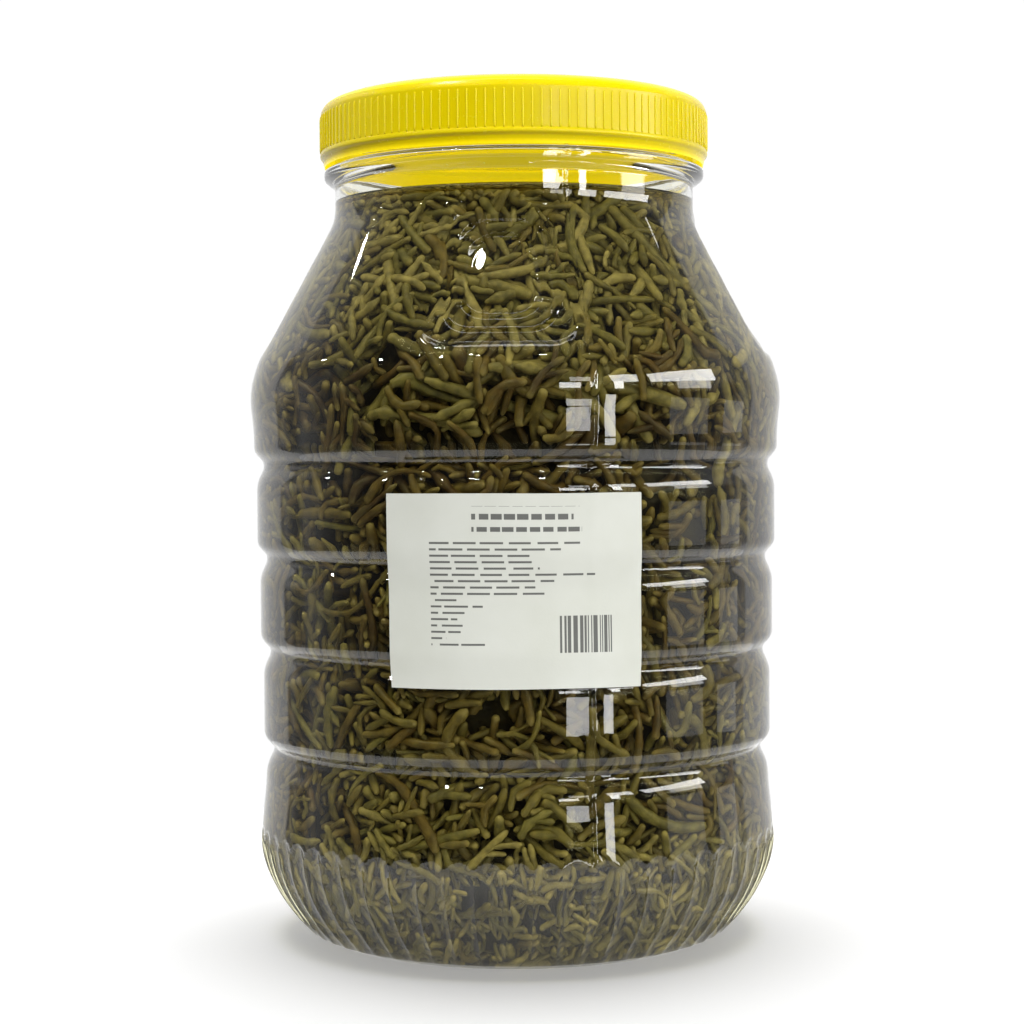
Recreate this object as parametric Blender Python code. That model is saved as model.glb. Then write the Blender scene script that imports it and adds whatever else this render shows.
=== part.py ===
"""A closed jar of samphire in brine, in metres with +Z up.

The origin is the middle of the jar's base, on the surface that it stands on. The front, with the
label, faces -Y. An azimuth is in degrees from the front, growing towards +X.

The jar, the cap, the seal and the brine are turned shapes: rings of points, each joined to the
next. A ring may have its own number of columns, so that the fluted base and the ribbed cap are
fine where they need it and plain elsewhere.
"""

import math
import random

import bmesh
import bpy
from mathutils import Vector

MM = 0.001

# The neck and the mouth
NECK_RADIUS = 61.2 * MM
NECK_WALL = 1.4 * MM
RIM_HEIGHT = 279.2 * MM
RIM_ROUND = 0.5 * MM
BEAD_RADIUS = 64.8 * MM
BEAD_BOTTOM, BEAD_TOP = 253.2 * MM, 259.4 * MM
BEAD_ROUND = 1.0 * MM
BEAD_SLOPE = 3.0 * MM

# The body: five bands, each a little wider than the one below it, with a groove between each two
WALL = 1.1 * MM
BANDS = 5
LOWEST_BAND_RADIUS = 85.8 * MM
BAND_STEP = 0.9 * MM
LOWEST_GROOVE = 65.0 * MM
GROOVE_SPACING = 31.5 * MM
GROOVE_DEPTH = 2.3 * MM
GROOVE_HALF_HEIGHT = 6.0 * MM
GROOVE_HALF_FLOOR = 1.2 * MM
BUMPER_RADIUS, BUMPER_HEIGHT = 90.6 * MM, 184.5 * MM
BUMPER_HALF_HEIGHT = 7.0 * MM

# The shoulder's cone, which meets the neck, and its four finger grips
CONE_RADIUS, CONE_HEIGHT = 85.7 * MM, 198.3 * MM
CONE_SLOPE = 0.552
GRIPS = 4
GRIP_TURN = -3.0
GRIP_DEPTH = 4.0 * MM
GRIP_BOTTOM, GRIP_TOP = 196.0 * MM, 237.0 * MM
GRIP_FLOOR_BOTTOM, GRIP_FLOOR_TOP = 205.0 * MM, 229.0 * MM
GRIP_FLOOR_TURN, GRIP_RIM_TURN = 10.0, 15.0
GRIP_NARROWING = 0.8

# The base: a bulge, then flutes that run in to a flat ring round a pushed-up bottom
BULGE_RADIUS, BULGE_HEIGHT = 87.4 * MM, 35.0 * MM
BASE_DROP = 17.5 * MM
BASE_POWER = 1.8
FLUTE_TOP, BULGE_TOP = 37.0 * MM, 49.0 * MM
FLUTES = 60
FLUTE_DEPTH = 1.0 * MM
FLUTE_HEIGHTS = [height * MM for height in (2.5, 8.0, 16.0, 26.0, 34.0)]
FOOT_OUTER, FOOT_INNER = 66.5 * MM, 62.5 * MM
PUSH_UP = 12.0 * MM

# The cap and the seal under it
CAP_RADIUS = 66.0 * MM
CAP_WALL = 1.8 * MM
CAP_TOP, CAP_BOTTOM = 283.0 * MM, 260.5 * MM
CAP_EDGE = 6.0 * MM
CAP_LIP_IN, CAP_LIP_HEIGHT = 1.0 * MM, 3.2 * MM
CAP_LIP_ROUND = 0.4 * MM
RIBS = 140
RIB_HEIGHT = 0.7 * MM
RIB_BOTTOM, RIB_TOP = 265.4 * MM, 276.8 * MM
SEAL_RADIUS, SEAL_THICKNESS = 61.0 * MM, 1.0 * MM

# The screw: one ridge on the neck and one in the cap, half a pitch below it
PITCH = 6.35 * MM
RIDGE_TURNS = 1.15
RIDGE_BOTTOM = 267.5 * MM
RIDGE_HALF_ROOT, RIDGE_HALF_CREST = 1.2 * MM, 0.6 * MM
NECK_RIDGE, CAP_RIDGE = 1.7 * MM, 2.2 * MM
RIDGE_SUNK = 0.6 * MM
RIDGE_STATIONS = 29
RIDGE_FADE = 0.3

# The label, whose back stands just off the bands
LABEL_WIDTH, LABEL_TOP, LABEL_BOTTOM = 80.0 * MM, 151.0 * MM, 91.0 * MM
LABEL_THICKNESS = 0.3 * MM
LABEL_TURN = -0.3
LABEL_COLUMNS = 14

# The brine, a jacket round the pile with a layer over it, and the samphire
LEVEL = 247.5 * MM
BRINE_BASE_HEIGHTS = [height * MM for height in (7.2, 12.0, 19.0)]
BRINE_JACKET = 1.0 * MM
BRINE_TOP_LAYER = 4.0 * MM
PILE_GAP = 0.7 * MM
PILE_BOTTOM = 3.2 * MM
PILE_RELIEF, PILE_TOP_RELIEF = 5.5 * MM, 2.0 * MM
PILE_COLUMNS = 20
PILE_EDGE = 5.0 * MM
STEMS = 86
GOLDEN_TURN, STEM_STRAY, STEM_TILT = 137.508, 8.0, 70.0
STEM_RADIUS, STEM_SPREAD = 4.6 * MM, 0.15
STEM_SHORTEST, STEM_LONGEST = 26.0 * MM, 50.0 * MM
STEM_DEPTHS = (3.4 * MM, 5.0 * MM)
STEM_SLACKS = (0.9 * MM, 2.2 * MM)
STEM_SIDES = 5
STEM_STATIONS = 2
STEM_SWELLING, STEM_END = 0.12, 0.6
BRANCH_SHARE, BRANCH_TURN, BRANCH_LENGTH = 0.2, 0.9, 0.7
SEED = 11

TOUCH_GAP = 0.3 * MM
COLUMNS = 40
CAP_COLUMNS = 48
BRINE_COLUMNS = 32
SMOOTH_UNDER = 35.0


def clear_scene():
    for obj in list(bpy.data.objects):
        bpy.data.objects.remove(obj)


def material(name, colour, roughness, transmission=0.0, ior=1.45):
    made = bpy.data.materials.new(name)
    made.use_nodes = True
    shader = made.node_tree.nodes["Principled BSDF"]
    shader.inputs["Base Color"].default_value = (*colour, 1.0)
    shader.inputs["Roughness"].default_value = roughness
    shader.inputs["Metallic"].default_value = 0.0
    shader.inputs["Transmission Weight"].default_value = transmission
    shader.inputs["IOR"].default_value = ior
    return made


def place(azimuth, radius, height):
    turn = math.radians(azimuth)
    return Vector((radius * math.sin(turn), -radius * math.cos(turn), height))


def even_azimuths(columns):
    return [360.0 * column / columns for column in range(columns)]


def ring(radius, height, columns=COLUMNS):
    """A level circle, as pairs of azimuth and point, starting at the front grip."""
    return [(azimuth, place(azimuth + GRIP_TURN, radius, height)) for azimuth in even_azimuths(columns)]


def pole(height):
    """The point on the axis that closes a turned shape."""
    return [(0.0, Vector((0.0, 0.0, height)))]


def column_end(one_ring, index):
    """Where a ring's column ends, or infinity at a pole and past the last column."""
    if len(one_ring) == 1 or index == len(one_ring):
        return math.inf
    return one_ring[index + 1][0] if index + 1 < len(one_ring) else 360.0


def stitch(bm, first, second):
    """Faces between two rings of corners, each with its own number of columns."""
    i = j = 0
    while True:
        first_end, second_end = column_end(first, i), column_end(second, j)
        nearest = min(first_end, second_end)
        if nearest == math.inf:
            return
        corners = [first[i % len(first)][1]]
        if math.isclose(first_end, nearest):
            i += 1
            corners.append(first[i % len(first)][1])
        if math.isclose(second_end, nearest):
            corners.append(second[(j + 1) % len(second)][1])
            corners.append(second[j][1])
            j += 1
        else:
            corners.append(second[j % len(second)][1])
        bm.faces.new(corners)


def add_object(name, bm, look=None):
    mesh = bpy.data.meshes.new(name)
    bm.to_mesh(mesh)
    bm.free()
    mesh.shade_smooth()
    mesh.set_sharp_from_angle(angle=math.radians(SMOOTH_UNDER))
    made = bpy.data.objects.new(name, mesh)
    bpy.context.scene.collection.objects.link(made)
    if look:
        mesh.materials.append(look)
    return made


def turned(name, rings, look=None):
    """A closed solid. Its rings run out along the underside, up the outside and back to the axis."""
    bm = bmesh.new()
    corners = [[(azimuth, bm.verts.new(point)) for azimuth, point in one] for one in rings]
    for first, second in zip(corners, corners[1:]):
        stitch(bm, first, second)
    return add_object(name, bm, look)


def band_radius(band):
    """Bands are counted from the lowest."""
    return LOWEST_BAND_RADIUS + BAND_STEP * band


def cone_radius(height):
    return CONE_RADIUS - CONE_SLOPE * (height - CONE_HEIGHT)


def base_radius(height):
    """The base's round outline below the bulge, over the ridges between the flutes."""
    return BULGE_RADIUS - BASE_DROP * (1.0 - height / BULGE_HEIGHT) ** BASE_POWER


def groove_rings(inset):
    rings = []
    for groove in range(BANDS - 1):
        middle = LOWEST_GROOVE + GROOVE_SPACING * groove
        floor = band_radius(groove) - GROOVE_DEPTH - inset
        rings.append(ring(band_radius(groove) - inset, middle - GROOVE_HALF_HEIGHT))
        rings.append(ring(floor, middle - GROOVE_HALF_FLOOR))
        rings.append(ring(floor, middle + GROOVE_HALF_FLOOR))
        rings.append(ring(band_radius(groove + 1) - inset, middle + GROOVE_HALF_HEIGHT))
    return rings


def grip_ring(height, inset, depth):
    """A ring of the shoulder, with its columns drawn to the grips' edges and set back by depth."""
    share = (height - GRIP_BOTTOM) / (GRIP_TOP - GRIP_BOTTOM)
    narrow = 1.0 + (GRIP_NARROWING - 1.0) * share
    quarter = COLUMNS // GRIPS
    half_turn = 180.0 / GRIPS
    turns = [0.0, GRIP_FLOOR_TURN * narrow, GRIP_RIM_TURN * narrow]
    plain = quarter // 2 - 2
    turns += [turns[2] + (half_turn - turns[2]) * (step + 1) / plain for step in range(plain)]
    points = []
    for column, azimuth in enumerate(even_azimuths(COLUMNS)):
        nearest = round(column / quarter)
        offset = column - nearest * quarter
        turn = math.copysign(turns[abs(offset)], offset) + nearest * 360.0 / GRIPS
        radius = cone_radius(height) - inset - (depth if abs(offset) < 2 else 0.0)
        points.append((azimuth, place(turn + GRIP_TURN, radius, height)))
    return points


def shoulder_rings(inset):
    top_band = band_radius(BANDS - 1) - inset
    rings = [
        ring(top_band, BUMPER_HEIGHT - 2.0 * BUMPER_HALF_HEIGHT),
        ring(BUMPER_RADIUS - inset, BUMPER_HEIGHT),
        ring(top_band, BUMPER_HEIGHT + BUMPER_HALF_HEIGHT),
    ]
    floor_middle = (GRIP_FLOOR_BOTTOM + GRIP_FLOOR_TOP) / 2.0
    rings.append(grip_ring(GRIP_BOTTOM, inset, 0.0))
    rings += [
        grip_ring(height, inset, GRIP_DEPTH)
        for height in (GRIP_FLOOR_BOTTOM, floor_middle, GRIP_FLOOR_TOP)
    ]
    rings.append(grip_ring(GRIP_TOP, inset, 0.0))
    return rings


def neck_foot(radius, inset):
    """The height where the cone, set in by inset, meets a neck of this radius."""
    return CONE_HEIGHT + (CONE_RADIUS - inset - radius) / CONE_SLOPE


def flute_ring(height):
    """A ring with a high and a low column for each flute, which fade out at the foot."""
    depth = FLUTE_DEPTH * min(1.0, height / FLUTE_HEIGHTS[1])
    points = []
    for column, azimuth in enumerate(even_azimuths(2 * FLUTES)):
        radius = base_radius(height) - depth * (column % 2)
        points.append((azimuth, place(azimuth + GRIP_TURN, radius, height)))
    return points


def push_up_rings(rise, columns=COLUMNS):
    """The pushed-up bottom, from its middle to the foot."""
    rings = [pole(PUSH_UP + rise)]
    for share in (0.5, 0.85, 1.0):
        rings.append(ring(FOOT_INNER * share, PUSH_UP * (1.0 - share**2) + rise, columns))
    return rings


def jar_outside():
    rings = push_up_rings(0.0) + [ring(FOOT_OUTER, 0.0)]
    rings += [flute_ring(height) for height in FLUTE_HEIGHTS]
    rings += [ring(BULGE_RADIUS, FLUTE_TOP), ring(band_radius(0), BULGE_TOP)]
    rings += groove_rings(0.0) + shoulder_rings(0.0)
    rings.append(ring(NECK_RADIUS, neck_foot(NECK_RADIUS, 0.0)))
    rings.append(ring(NECK_RADIUS, BEAD_BOTTOM))
    rings.append(ring(BEAD_RADIUS, BEAD_BOTTOM + BEAD_SLOPE))
    rings.append(ring(BEAD_RADIUS, BEAD_TOP - BEAD_ROUND))
    rings.append(ring(NECK_RADIUS, BEAD_TOP))
    rings.append(ring(NECK_RADIUS, RIM_HEIGHT - RIM_ROUND))
    rings.append(ring(NECK_RADIUS - RIM_ROUND, RIM_HEIGHT))
    return rings


def jar_inside():
    """From the mouth down to the middle of the floor. The inside of the base has no flutes."""
    bore = NECK_RADIUS - NECK_WALL
    rings = [ring(bore, RIM_HEIGHT), ring(bore, neck_foot(bore, WALL))]
    rings += reversed(groove_rings(WALL) + shoulder_rings(WALL))
    rings += [ring(band_radius(0) - WALL, BULGE_TOP), ring(BULGE_RADIUS - WALL, FLUTE_TOP)]
    inset = FLUTE_DEPTH + WALL
    rings += [ring(base_radius(height) - inset, height + WALL) for height in FLUTE_HEIGHTS[::-2]]
    rings.append(ring(FOOT_OUTER - WALL, WALL))
    return rings + push_up_rings(WALL)[::-1]


def ridge(name, root, crest, bottom):
    """A screw ridge as a solid of its own, from inside the wall to its crest, fading at both ends."""
    bm = bmesh.new()
    sections = []
    for station in range(RIDGE_STATIONS):
        share = station / (RIDGE_STATIONS - 1)
        full = min(1.0, RIDGE_FADE + min(share, 1.0 - share) * RIDGE_STATIONS / 3.0)
        middle = bottom + PITCH * RIDGE_TURNS * share
        tip = root + (crest - root) * full
        corners = [
            (root, middle - RIDGE_HALF_ROOT * full),
            (tip, middle - RIDGE_HALF_CREST * full),
            (tip, middle + RIDGE_HALF_CREST * full),
            (root, middle + RIDGE_HALF_ROOT * full),
        ]
        azimuth = 360.0 * RIDGE_TURNS * share
        sections.append([bm.verts.new(place(azimuth, radius, height)) for radius, height in corners])
    for first, second in zip(sections, sections[1:]):
        for side in range(4):
            after = (side + 1) % 4
            bm.faces.new((first[side], second[side], second[after], first[after]))
    bm.faces.new(sections[0])
    bm.faces.new(reversed(sections[-1]))
    bmesh.ops.recalc_face_normals(bm, faces=bm.faces)
    return add_object(name, bm)


def join(solid, helper):
    helper.hide_render = True
    helper.display_type = "WIRE"
    union = solid.modifiers.new("join " + helper.name, "BOOLEAN")
    union.operation = "UNION"
    union.object = helper


def make_jar():
    look = material("clear plastic", (0.86, 0.90, 0.84), 0.05, transmission=1.0, ior=1.57)
    jar = turned("jar", jar_outside() + jar_inside(), look)
    crest = NECK_RADIUS + NECK_RIDGE
    join(jar, ridge("neck ridge", NECK_RADIUS - RIDGE_SUNK, crest, RIDGE_BOTTOM))


def rib_ring(height):
    points = []
    for column, azimuth in enumerate(even_azimuths(2 * RIBS)):
        radius = CAP_RADIUS + RIB_HEIGHT * (column % 2)
        points.append((azimuth, place(azimuth, radius, height)))
    return points


def edge_rings(thickness, turns):
    """The cap's round edge, set in by a thickness, at angles from the side (0) to the top (90)."""
    rings = []
    for turn in turns:
        out = (CAP_EDGE - thickness) * math.cos(math.radians(turn))
        up = (CAP_EDGE - thickness) * math.sin(math.radians(turn))
        rings.append(ring(CAP_RADIUS - CAP_EDGE + out, CAP_TOP - CAP_EDGE + up, CAP_COLUMNS))
    return rings


def make_cap():
    look = material("yellow plastic", (0.93, 0.68, 0.005), 0.28)
    bore = CAP_RADIUS - CAP_WALL
    lip = [
        (bore, CAP_BOTTOM + CAP_LIP_ROUND),
        (bore + CAP_LIP_ROUND, CAP_BOTTOM),
        (CAP_RADIUS - CAP_LIP_IN, CAP_BOTTOM),
        (CAP_RADIUS, CAP_BOTTOM + CAP_LIP_HEIGHT),
    ]
    rings = [pole(CAP_TOP - CAP_WALL)] + edge_rings(CAP_WALL, (90.0, 45.0, 0.0))
    rings += [ring(radius, height, CAP_COLUMNS) for radius, height in lip]
    rings += [rib_ring(RIB_BOTTOM), rib_ring(RIB_TOP)]
    rings += edge_rings(0.0, (10.0, 50.0, 90.0)) + [pole(CAP_TOP)]
    cap = turned("cap", rings, look)
    join(cap, ridge("cap ridge", bore + RIDGE_SUNK, bore - CAP_RIDGE, RIDGE_BOTTOM - PITCH / 2.0))


def make_seal():
    look = material("liner", (0.80, 0.80, 0.76), 0.6)
    bottom = RIM_HEIGHT + TOUCH_GAP
    top = bottom + SEAL_THICKNESS
    turned("seal", [pole(bottom), ring(SEAL_RADIUS, bottom), ring(SEAL_RADIUS, top), pole(top)], look)


def label_profile():
    """The label's back: on the bands where there are bands, and straight over each groove."""
    upper = LOWEST_GROOVE + 2 * GROOVE_SPACING
    lower = LOWEST_GROOVE + GROOVE_SPACING
    off = 2.0 * TOUCH_GAP
    return [
        (band_radius(1) + off, LABEL_BOTTOM),
        (band_radius(2) + off, lower + GROOVE_HALF_HEIGHT),
        (band_radius(2) + off, upper - GROOVE_HALF_HEIGHT),
        (band_radius(3) + off, upper + GROOVE_HALF_HEIGHT),
        (band_radius(3) + off, LABEL_TOP),
    ]


def make_label():
    look = material("white paper", (0.86, 0.86, 0.84), 0.8)
    half_turn = math.degrees(LABEL_WIDTH / 2.0 / band_radius(2))
    profile = label_profile()
    bm = bmesh.new()
    columns = []
    for column in range(LABEL_COLUMNS + 1):
        azimuth = LABEL_TURN + half_turn * (2.0 * column / LABEL_COLUMNS - 1.0)
        front = [(radius + LABEL_THICKNESS, height) for radius, height in reversed(profile)]
        columns.append([bm.verts.new(place(azimuth, radius, height)) for radius, height in profile + front])
    around = len(columns[0])
    for first, second in zip(columns, columns[1:]):
        for side in range(around):
            after = (side + 1) % around
            bm.faces.new((first[side], second[side], second[after], first[after]))
    for end in (columns[0], columns[-1]):
        for level in range(len(profile) - 1):
            bm.faces.new((end[level], end[level + 1], end[-level - 2], end[-level - 1]))
    bmesh.ops.recalc_face_normals(bm, faces=bm.faces)
    add_object("label", bm, look)


def brine_outline():
    """The jacket's outside, from its open bottom up. It passes inside the grooves and the grips."""
    gap = 3.0 * TOUCH_GAP
    grooves = band_radius(0) - GROOVE_DEPTH - WALL - gap
    grip_top = cone_radius(GRIP_FLOOR_TOP) - GRIP_DEPTH - WALL - gap
    grip_bottom = cone_radius(GRIP_FLOOR_BOTTOM) - GRIP_DEPTH - WALL - gap
    top_groove = grooves + BAND_STEP * (BANDS - 2)
    bore = NECK_RADIUS - NECK_WALL - 2.0 * TOUCH_GAP
    base = [
        (base_radius(height - WALL) - FLUTE_DEPTH - WALL - gap, height)
        for height in BRINE_BASE_HEIGHTS
    ]
    return base + [
        (grooves, BULGE_HEIGHT),
        (grooves, LOWEST_GROOVE),
        (top_groove, LOWEST_GROOVE + GROOVE_SPACING * (BANDS - 2)),
        (top_groove, BUMPER_HEIGHT + BUMPER_HALF_HEIGHT),
        (grip_bottom, GRIP_FLOOR_BOTTOM),
        (grip_top, GRIP_FLOOR_TOP),
        (bore, neck_foot(bore, WALL + gap)),
        (bore, LEVEL),
    ]


def make_brine():
    look = material("brine", (0.55, 0.50, 0.22), 0.02, transmission=1.0, ior=1.34)
    outline = brine_outline()
    ceiling = LEVEL - BRINE_TOP_LAYER
    inside = [(radius - BRINE_JACKET, height) for radius, height in outline[:-1]]
    rings = [pole(ceiling), ring(outline[-1][0] - BRINE_JACKET, ceiling, BRINE_COLUMNS)]
    rings += [ring(radius, height, BRINE_COLUMNS) for radius, height in inside[::-1] + outline]
    turned("brine", rings + [pole(LEVEL)], look)


def outline_radius(outline, height):
    """The radius of an outline, given from the bottom up, at a height."""
    if height <= outline[0][1]:
        return outline[0][0]
    for (low_radius, low), (high_radius, high) in zip(outline, outline[1:]):
        if height <= high:
            return low_radius + (high_radius - low_radius) * (height - low) / (high - low)
    return outline[-1][0]


def pile_outline():
    inset = BRINE_JACKET + PILE_GAP
    outline = [(radius - inset, height) for radius, height in brine_outline()[:-1]]
    top = LEVEL - BRINE_TOP_LAYER - TOUCH_GAP
    foot = (FOOT_OUTER - PILE_GAP, PILE_BOTTOM)
    return [foot] + outline + [(outline[-1][0], top)]


def pile_core(outline, look):
    """The dense middle of the pile, which the stems stand out of."""
    rings = push_up_rings(WALL + 2.0 * PILE_GAP, PILE_COLUMNS)[:-1]
    rings += [ring(radius - PILE_RELIEF, height, PILE_COLUMNS) for radius, height in outline[:-1]]
    top = outline[-1][1] - PILE_TOP_RELIEF
    rings += [ring(outline[-1][0] - PILE_RELIEF, top, PILE_COLUMNS), pole(top)]
    return turned("samphire", rings, look)


def on_pile(outline, azimuth, height, depth):
    return place(azimuth, outline_radius(outline, height) - depth, height)


def stem(name, points, radius):
    """A fleshy stem through the points, thicker at every second one, with a blunt point at each end."""
    bm = bmesh.new()
    sections = []
    for index, point in enumerate(points):
        along = (points[min(index + 1, len(points) - 1)] - points[max(index - 1, 0)]).normalized()
        side = along.cross(Vector((point.x, point.y, 0.0))).normalized()
        across = side.cross(along)
        girth = radius * (1.0 + STEM_SWELLING * (index % 2))
        corners = []
        for corner in range(STEM_SIDES):
            turn = 2.0 * math.pi * corner / STEM_SIDES
            corners.append(bm.verts.new(point + girth * (across * math.cos(turn) + side * math.sin(turn))))
        sections.append(corners)
    root = bm.verts.new(points[0] + (points[0] - points[1]).normalized() * radius * STEM_END)
    tip = bm.verts.new(points[-1] + (points[-1] - points[-2]).normalized() * radius * STEM_END)
    for corner in range(STEM_SIDES):
        after = (corner + 1) % STEM_SIDES
        bm.faces.new((root, sections[0][after], sections[0][corner]))
        bm.faces.new((tip, sections[-1][corner], sections[-1][after]))
        for first, second in zip(sections, sections[1:]):
            bm.faces.new((first[corner], first[after], second[after], second[corner]))
    bmesh.ops.recalc_face_normals(bm, faces=bm.faces)
    return add_object(name, bm)


def stem_points(outline, azimuth, height, tilt, length, depth):
    """Points along a stem that follows the pile's side, sunk by depth."""
    points = []
    for station in range(STEM_STATIONS):
        run = length * (station / (STEM_STATIONS - 1) - 0.5)
        level = height + run * math.sin(tilt)
        across = outline_radius(outline, height)
        turn = azimuth + math.degrees(run * math.cos(tilt) / across)
        points.append(on_pile(outline, turn, level, depth))
    return points


def press_in(obj, outline, slack):
    """Move the corners that stand outside the pile's outline onto it."""
    for vertex in obj.data.vertices:
        point = vertex.co
        point.z = min(max(point.z, outline[1][1]), outline[-1][1] - slack)
        limit = outline_radius(outline, point.z) - slack
        across = math.hypot(point.x, point.y)
        if across > limit:
            point.x *= limit / across
            point.y *= limit / across


def scatter_stems(outline, rng):
    """Stems that lie along the pile's side at all angles, each a little higher than the last."""
    low, high = outline[1][1] + PILE_EDGE, outline[-1][1] - PILE_EDGE
    made = []
    for index in range(STEMS):
        height = low + (high - low) * (index + 0.5) / STEMS
        azimuth = GOLDEN_TURN * index + rng.uniform(-STEM_STRAY, STEM_STRAY)
        tilt = math.radians(rng.uniform(-STEM_TILT, STEM_TILT))
        length = rng.uniform(STEM_SHORTEST, STEM_LONGEST)
        depth = rng.uniform(*STEM_DEPTHS)
        runs = [stem_points(outline, azimuth, height, tilt, length, depth)]
        if rng.random() < BRANCH_SHARE:
            fork = tilt + math.copysign(BRANCH_TURN, -tilt)
            runs.append(stem_points(outline, azimuth, height, fork, length * BRANCH_LENGTH, depth))
        for points in runs:
            obj = stem("stem", points, STEM_RADIUS * rng.uniform(1.0 - STEM_SPREAD, 1.0 + STEM_SPREAD))
            press_in(obj, outline, rng.uniform(*STEM_SLACKS))
            made.append(obj)
    return made


def keep_largest_shell(mesh):
    """Drop loose scraps, and fill hollows that the union sealed, by keeping the outermost shell only."""
    bm = bmesh.new()
    bm.from_mesh(mesh)
    left = set(bm.verts)
    shells = []
    while left:
        shell, edge = set(), [left.pop()]
        while edge:
            vertex = edge.pop()
            shell.add(vertex)
            near = {other.other_vert(vertex) for other in vertex.link_edges} & left
            left -= near
            edge += near
        shells.append(shell)
    shells.sort(key=len)
    for shell in shells[:-1]:
        bmesh.ops.delete(bm, geom=list(shell), context="VERTS")
    bm.to_mesh(mesh)
    bm.free()


def make_samphire():
    look = material("samphire", (0.16, 0.15, 0.045), 0.55)
    outline = pile_outline()
    pile = pile_core(outline, look)
    stems = bpy.data.collections.new("stems")
    bpy.context.scene.collection.children.link(stems)
    for obj in scatter_stems(outline, random.Random(SEED)):
        bpy.context.scene.collection.objects.unlink(obj)
        stems.objects.link(obj)
    union = pile.modifiers.new("stems", "BOOLEAN")
    union.operation = "UNION"
    union.operand_type = "COLLECTION"
    union.collection = stems
    union.solver = "MANIFOLD"
    graph = bpy.context.evaluated_depsgraph_get()
    joined = bpy.data.meshes.new_from_object(pile.evaluated_get(graph))
    pile.modifiers.clear()
    keep_largest_shell(joined)
    pile.data = joined
    for obj in list(stems.objects):
        bpy.data.objects.remove(obj)
    bpy.data.collections.remove(stems)


def main():
    clear_scene()
    make_jar()
    make_cap()
    make_seal()
    make_label()
    make_brine()
    make_samphire()


main()
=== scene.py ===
# %% [markdown]
# # A jar of samphire in brine
# A clear plastic catering jar, screwed shut with a yellow ribbed cap and packed with short pieces
# of samphire, a fleshy, jointed plant of salt marshes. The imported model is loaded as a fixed
# frame: it says how large each part is and how the cap turns. This script dresses it.
# Everything is in metres with +Z up, and the front with the label faces -Y.

import math

import bmesh
import bpy
import numpy as np
from mathutils import Matrix, Vector


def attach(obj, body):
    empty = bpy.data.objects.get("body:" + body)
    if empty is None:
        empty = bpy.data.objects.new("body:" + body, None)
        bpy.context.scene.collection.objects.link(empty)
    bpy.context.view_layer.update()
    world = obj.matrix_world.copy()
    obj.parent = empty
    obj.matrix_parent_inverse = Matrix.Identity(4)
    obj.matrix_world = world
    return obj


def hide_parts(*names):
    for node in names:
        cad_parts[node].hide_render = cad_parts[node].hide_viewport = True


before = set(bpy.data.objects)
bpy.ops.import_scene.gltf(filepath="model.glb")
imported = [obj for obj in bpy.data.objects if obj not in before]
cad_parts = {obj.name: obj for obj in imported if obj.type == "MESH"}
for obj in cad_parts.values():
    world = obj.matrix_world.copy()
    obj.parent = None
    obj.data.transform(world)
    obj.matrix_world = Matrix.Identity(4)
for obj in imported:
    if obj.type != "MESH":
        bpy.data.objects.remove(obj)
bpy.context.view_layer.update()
MM = 0.001
print("the frame's nodes:", sorted(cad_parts))

# %% [markdown]
# ## The camera
# The photograph was taken from about 75 cm away with a long lens, a little over half the jar's
# height. A long lens keeps the jar's sides nearly parallel. The camera looks 1.5 degrees down
# and leans a third of a degree, which is what the jar's outline in the photograph measures.

# %% camera
FOCUS_IN_PIXELS, IMAGE_WIDTH = 2175.0, 1024.0
CAMERA_DISTANCE, CAMERA_HEIGHT = 749 * MM, 162.6 * MM
CAMERA_DOWN, CAMERA_TURN, CAMERA_LEAN = 1.5, 0.1, -0.34

camera_data = bpy.data.cameras.new("camera")
camera_data.sensor_width = 36.0
camera_data.lens = camera_data.sensor_width * FOCUS_IN_PIXELS / IMAGE_WIDTH
camera_data.clip_start, camera_data.clip_end = 0.01, 50.0
camera = bpy.data.objects.new("camera", camera_data)
bpy.context.scene.collection.objects.link(camera)
aim = Matrix.Rotation(math.radians(CAMERA_TURN), 4, "Z")
aim = aim @ Matrix.Rotation(math.radians(90.0 - CAMERA_DOWN), 4, "X")
aim = aim @ Matrix.Rotation(math.radians(CAMERA_LEAN), 4, "Z")
camera.matrix_world = Matrix.Translation((0.0, -CAMERA_DISTANCE, CAMERA_HEIGHT)) @ aim
bpy.context.scene.camera = camera
print("lens", round(camera_data.lens, 2), "mm")

# %% [markdown]
# ## Outlines with rounded corners
# The jar, its cap and the brine are turned shapes, so each starts as an outline in radius and
# height. A blown or moulded part has no sharp corners. Each corner of an outline is given with
# the length that its rounding takes up, and the rounding is a short curve between the two sides.

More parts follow.
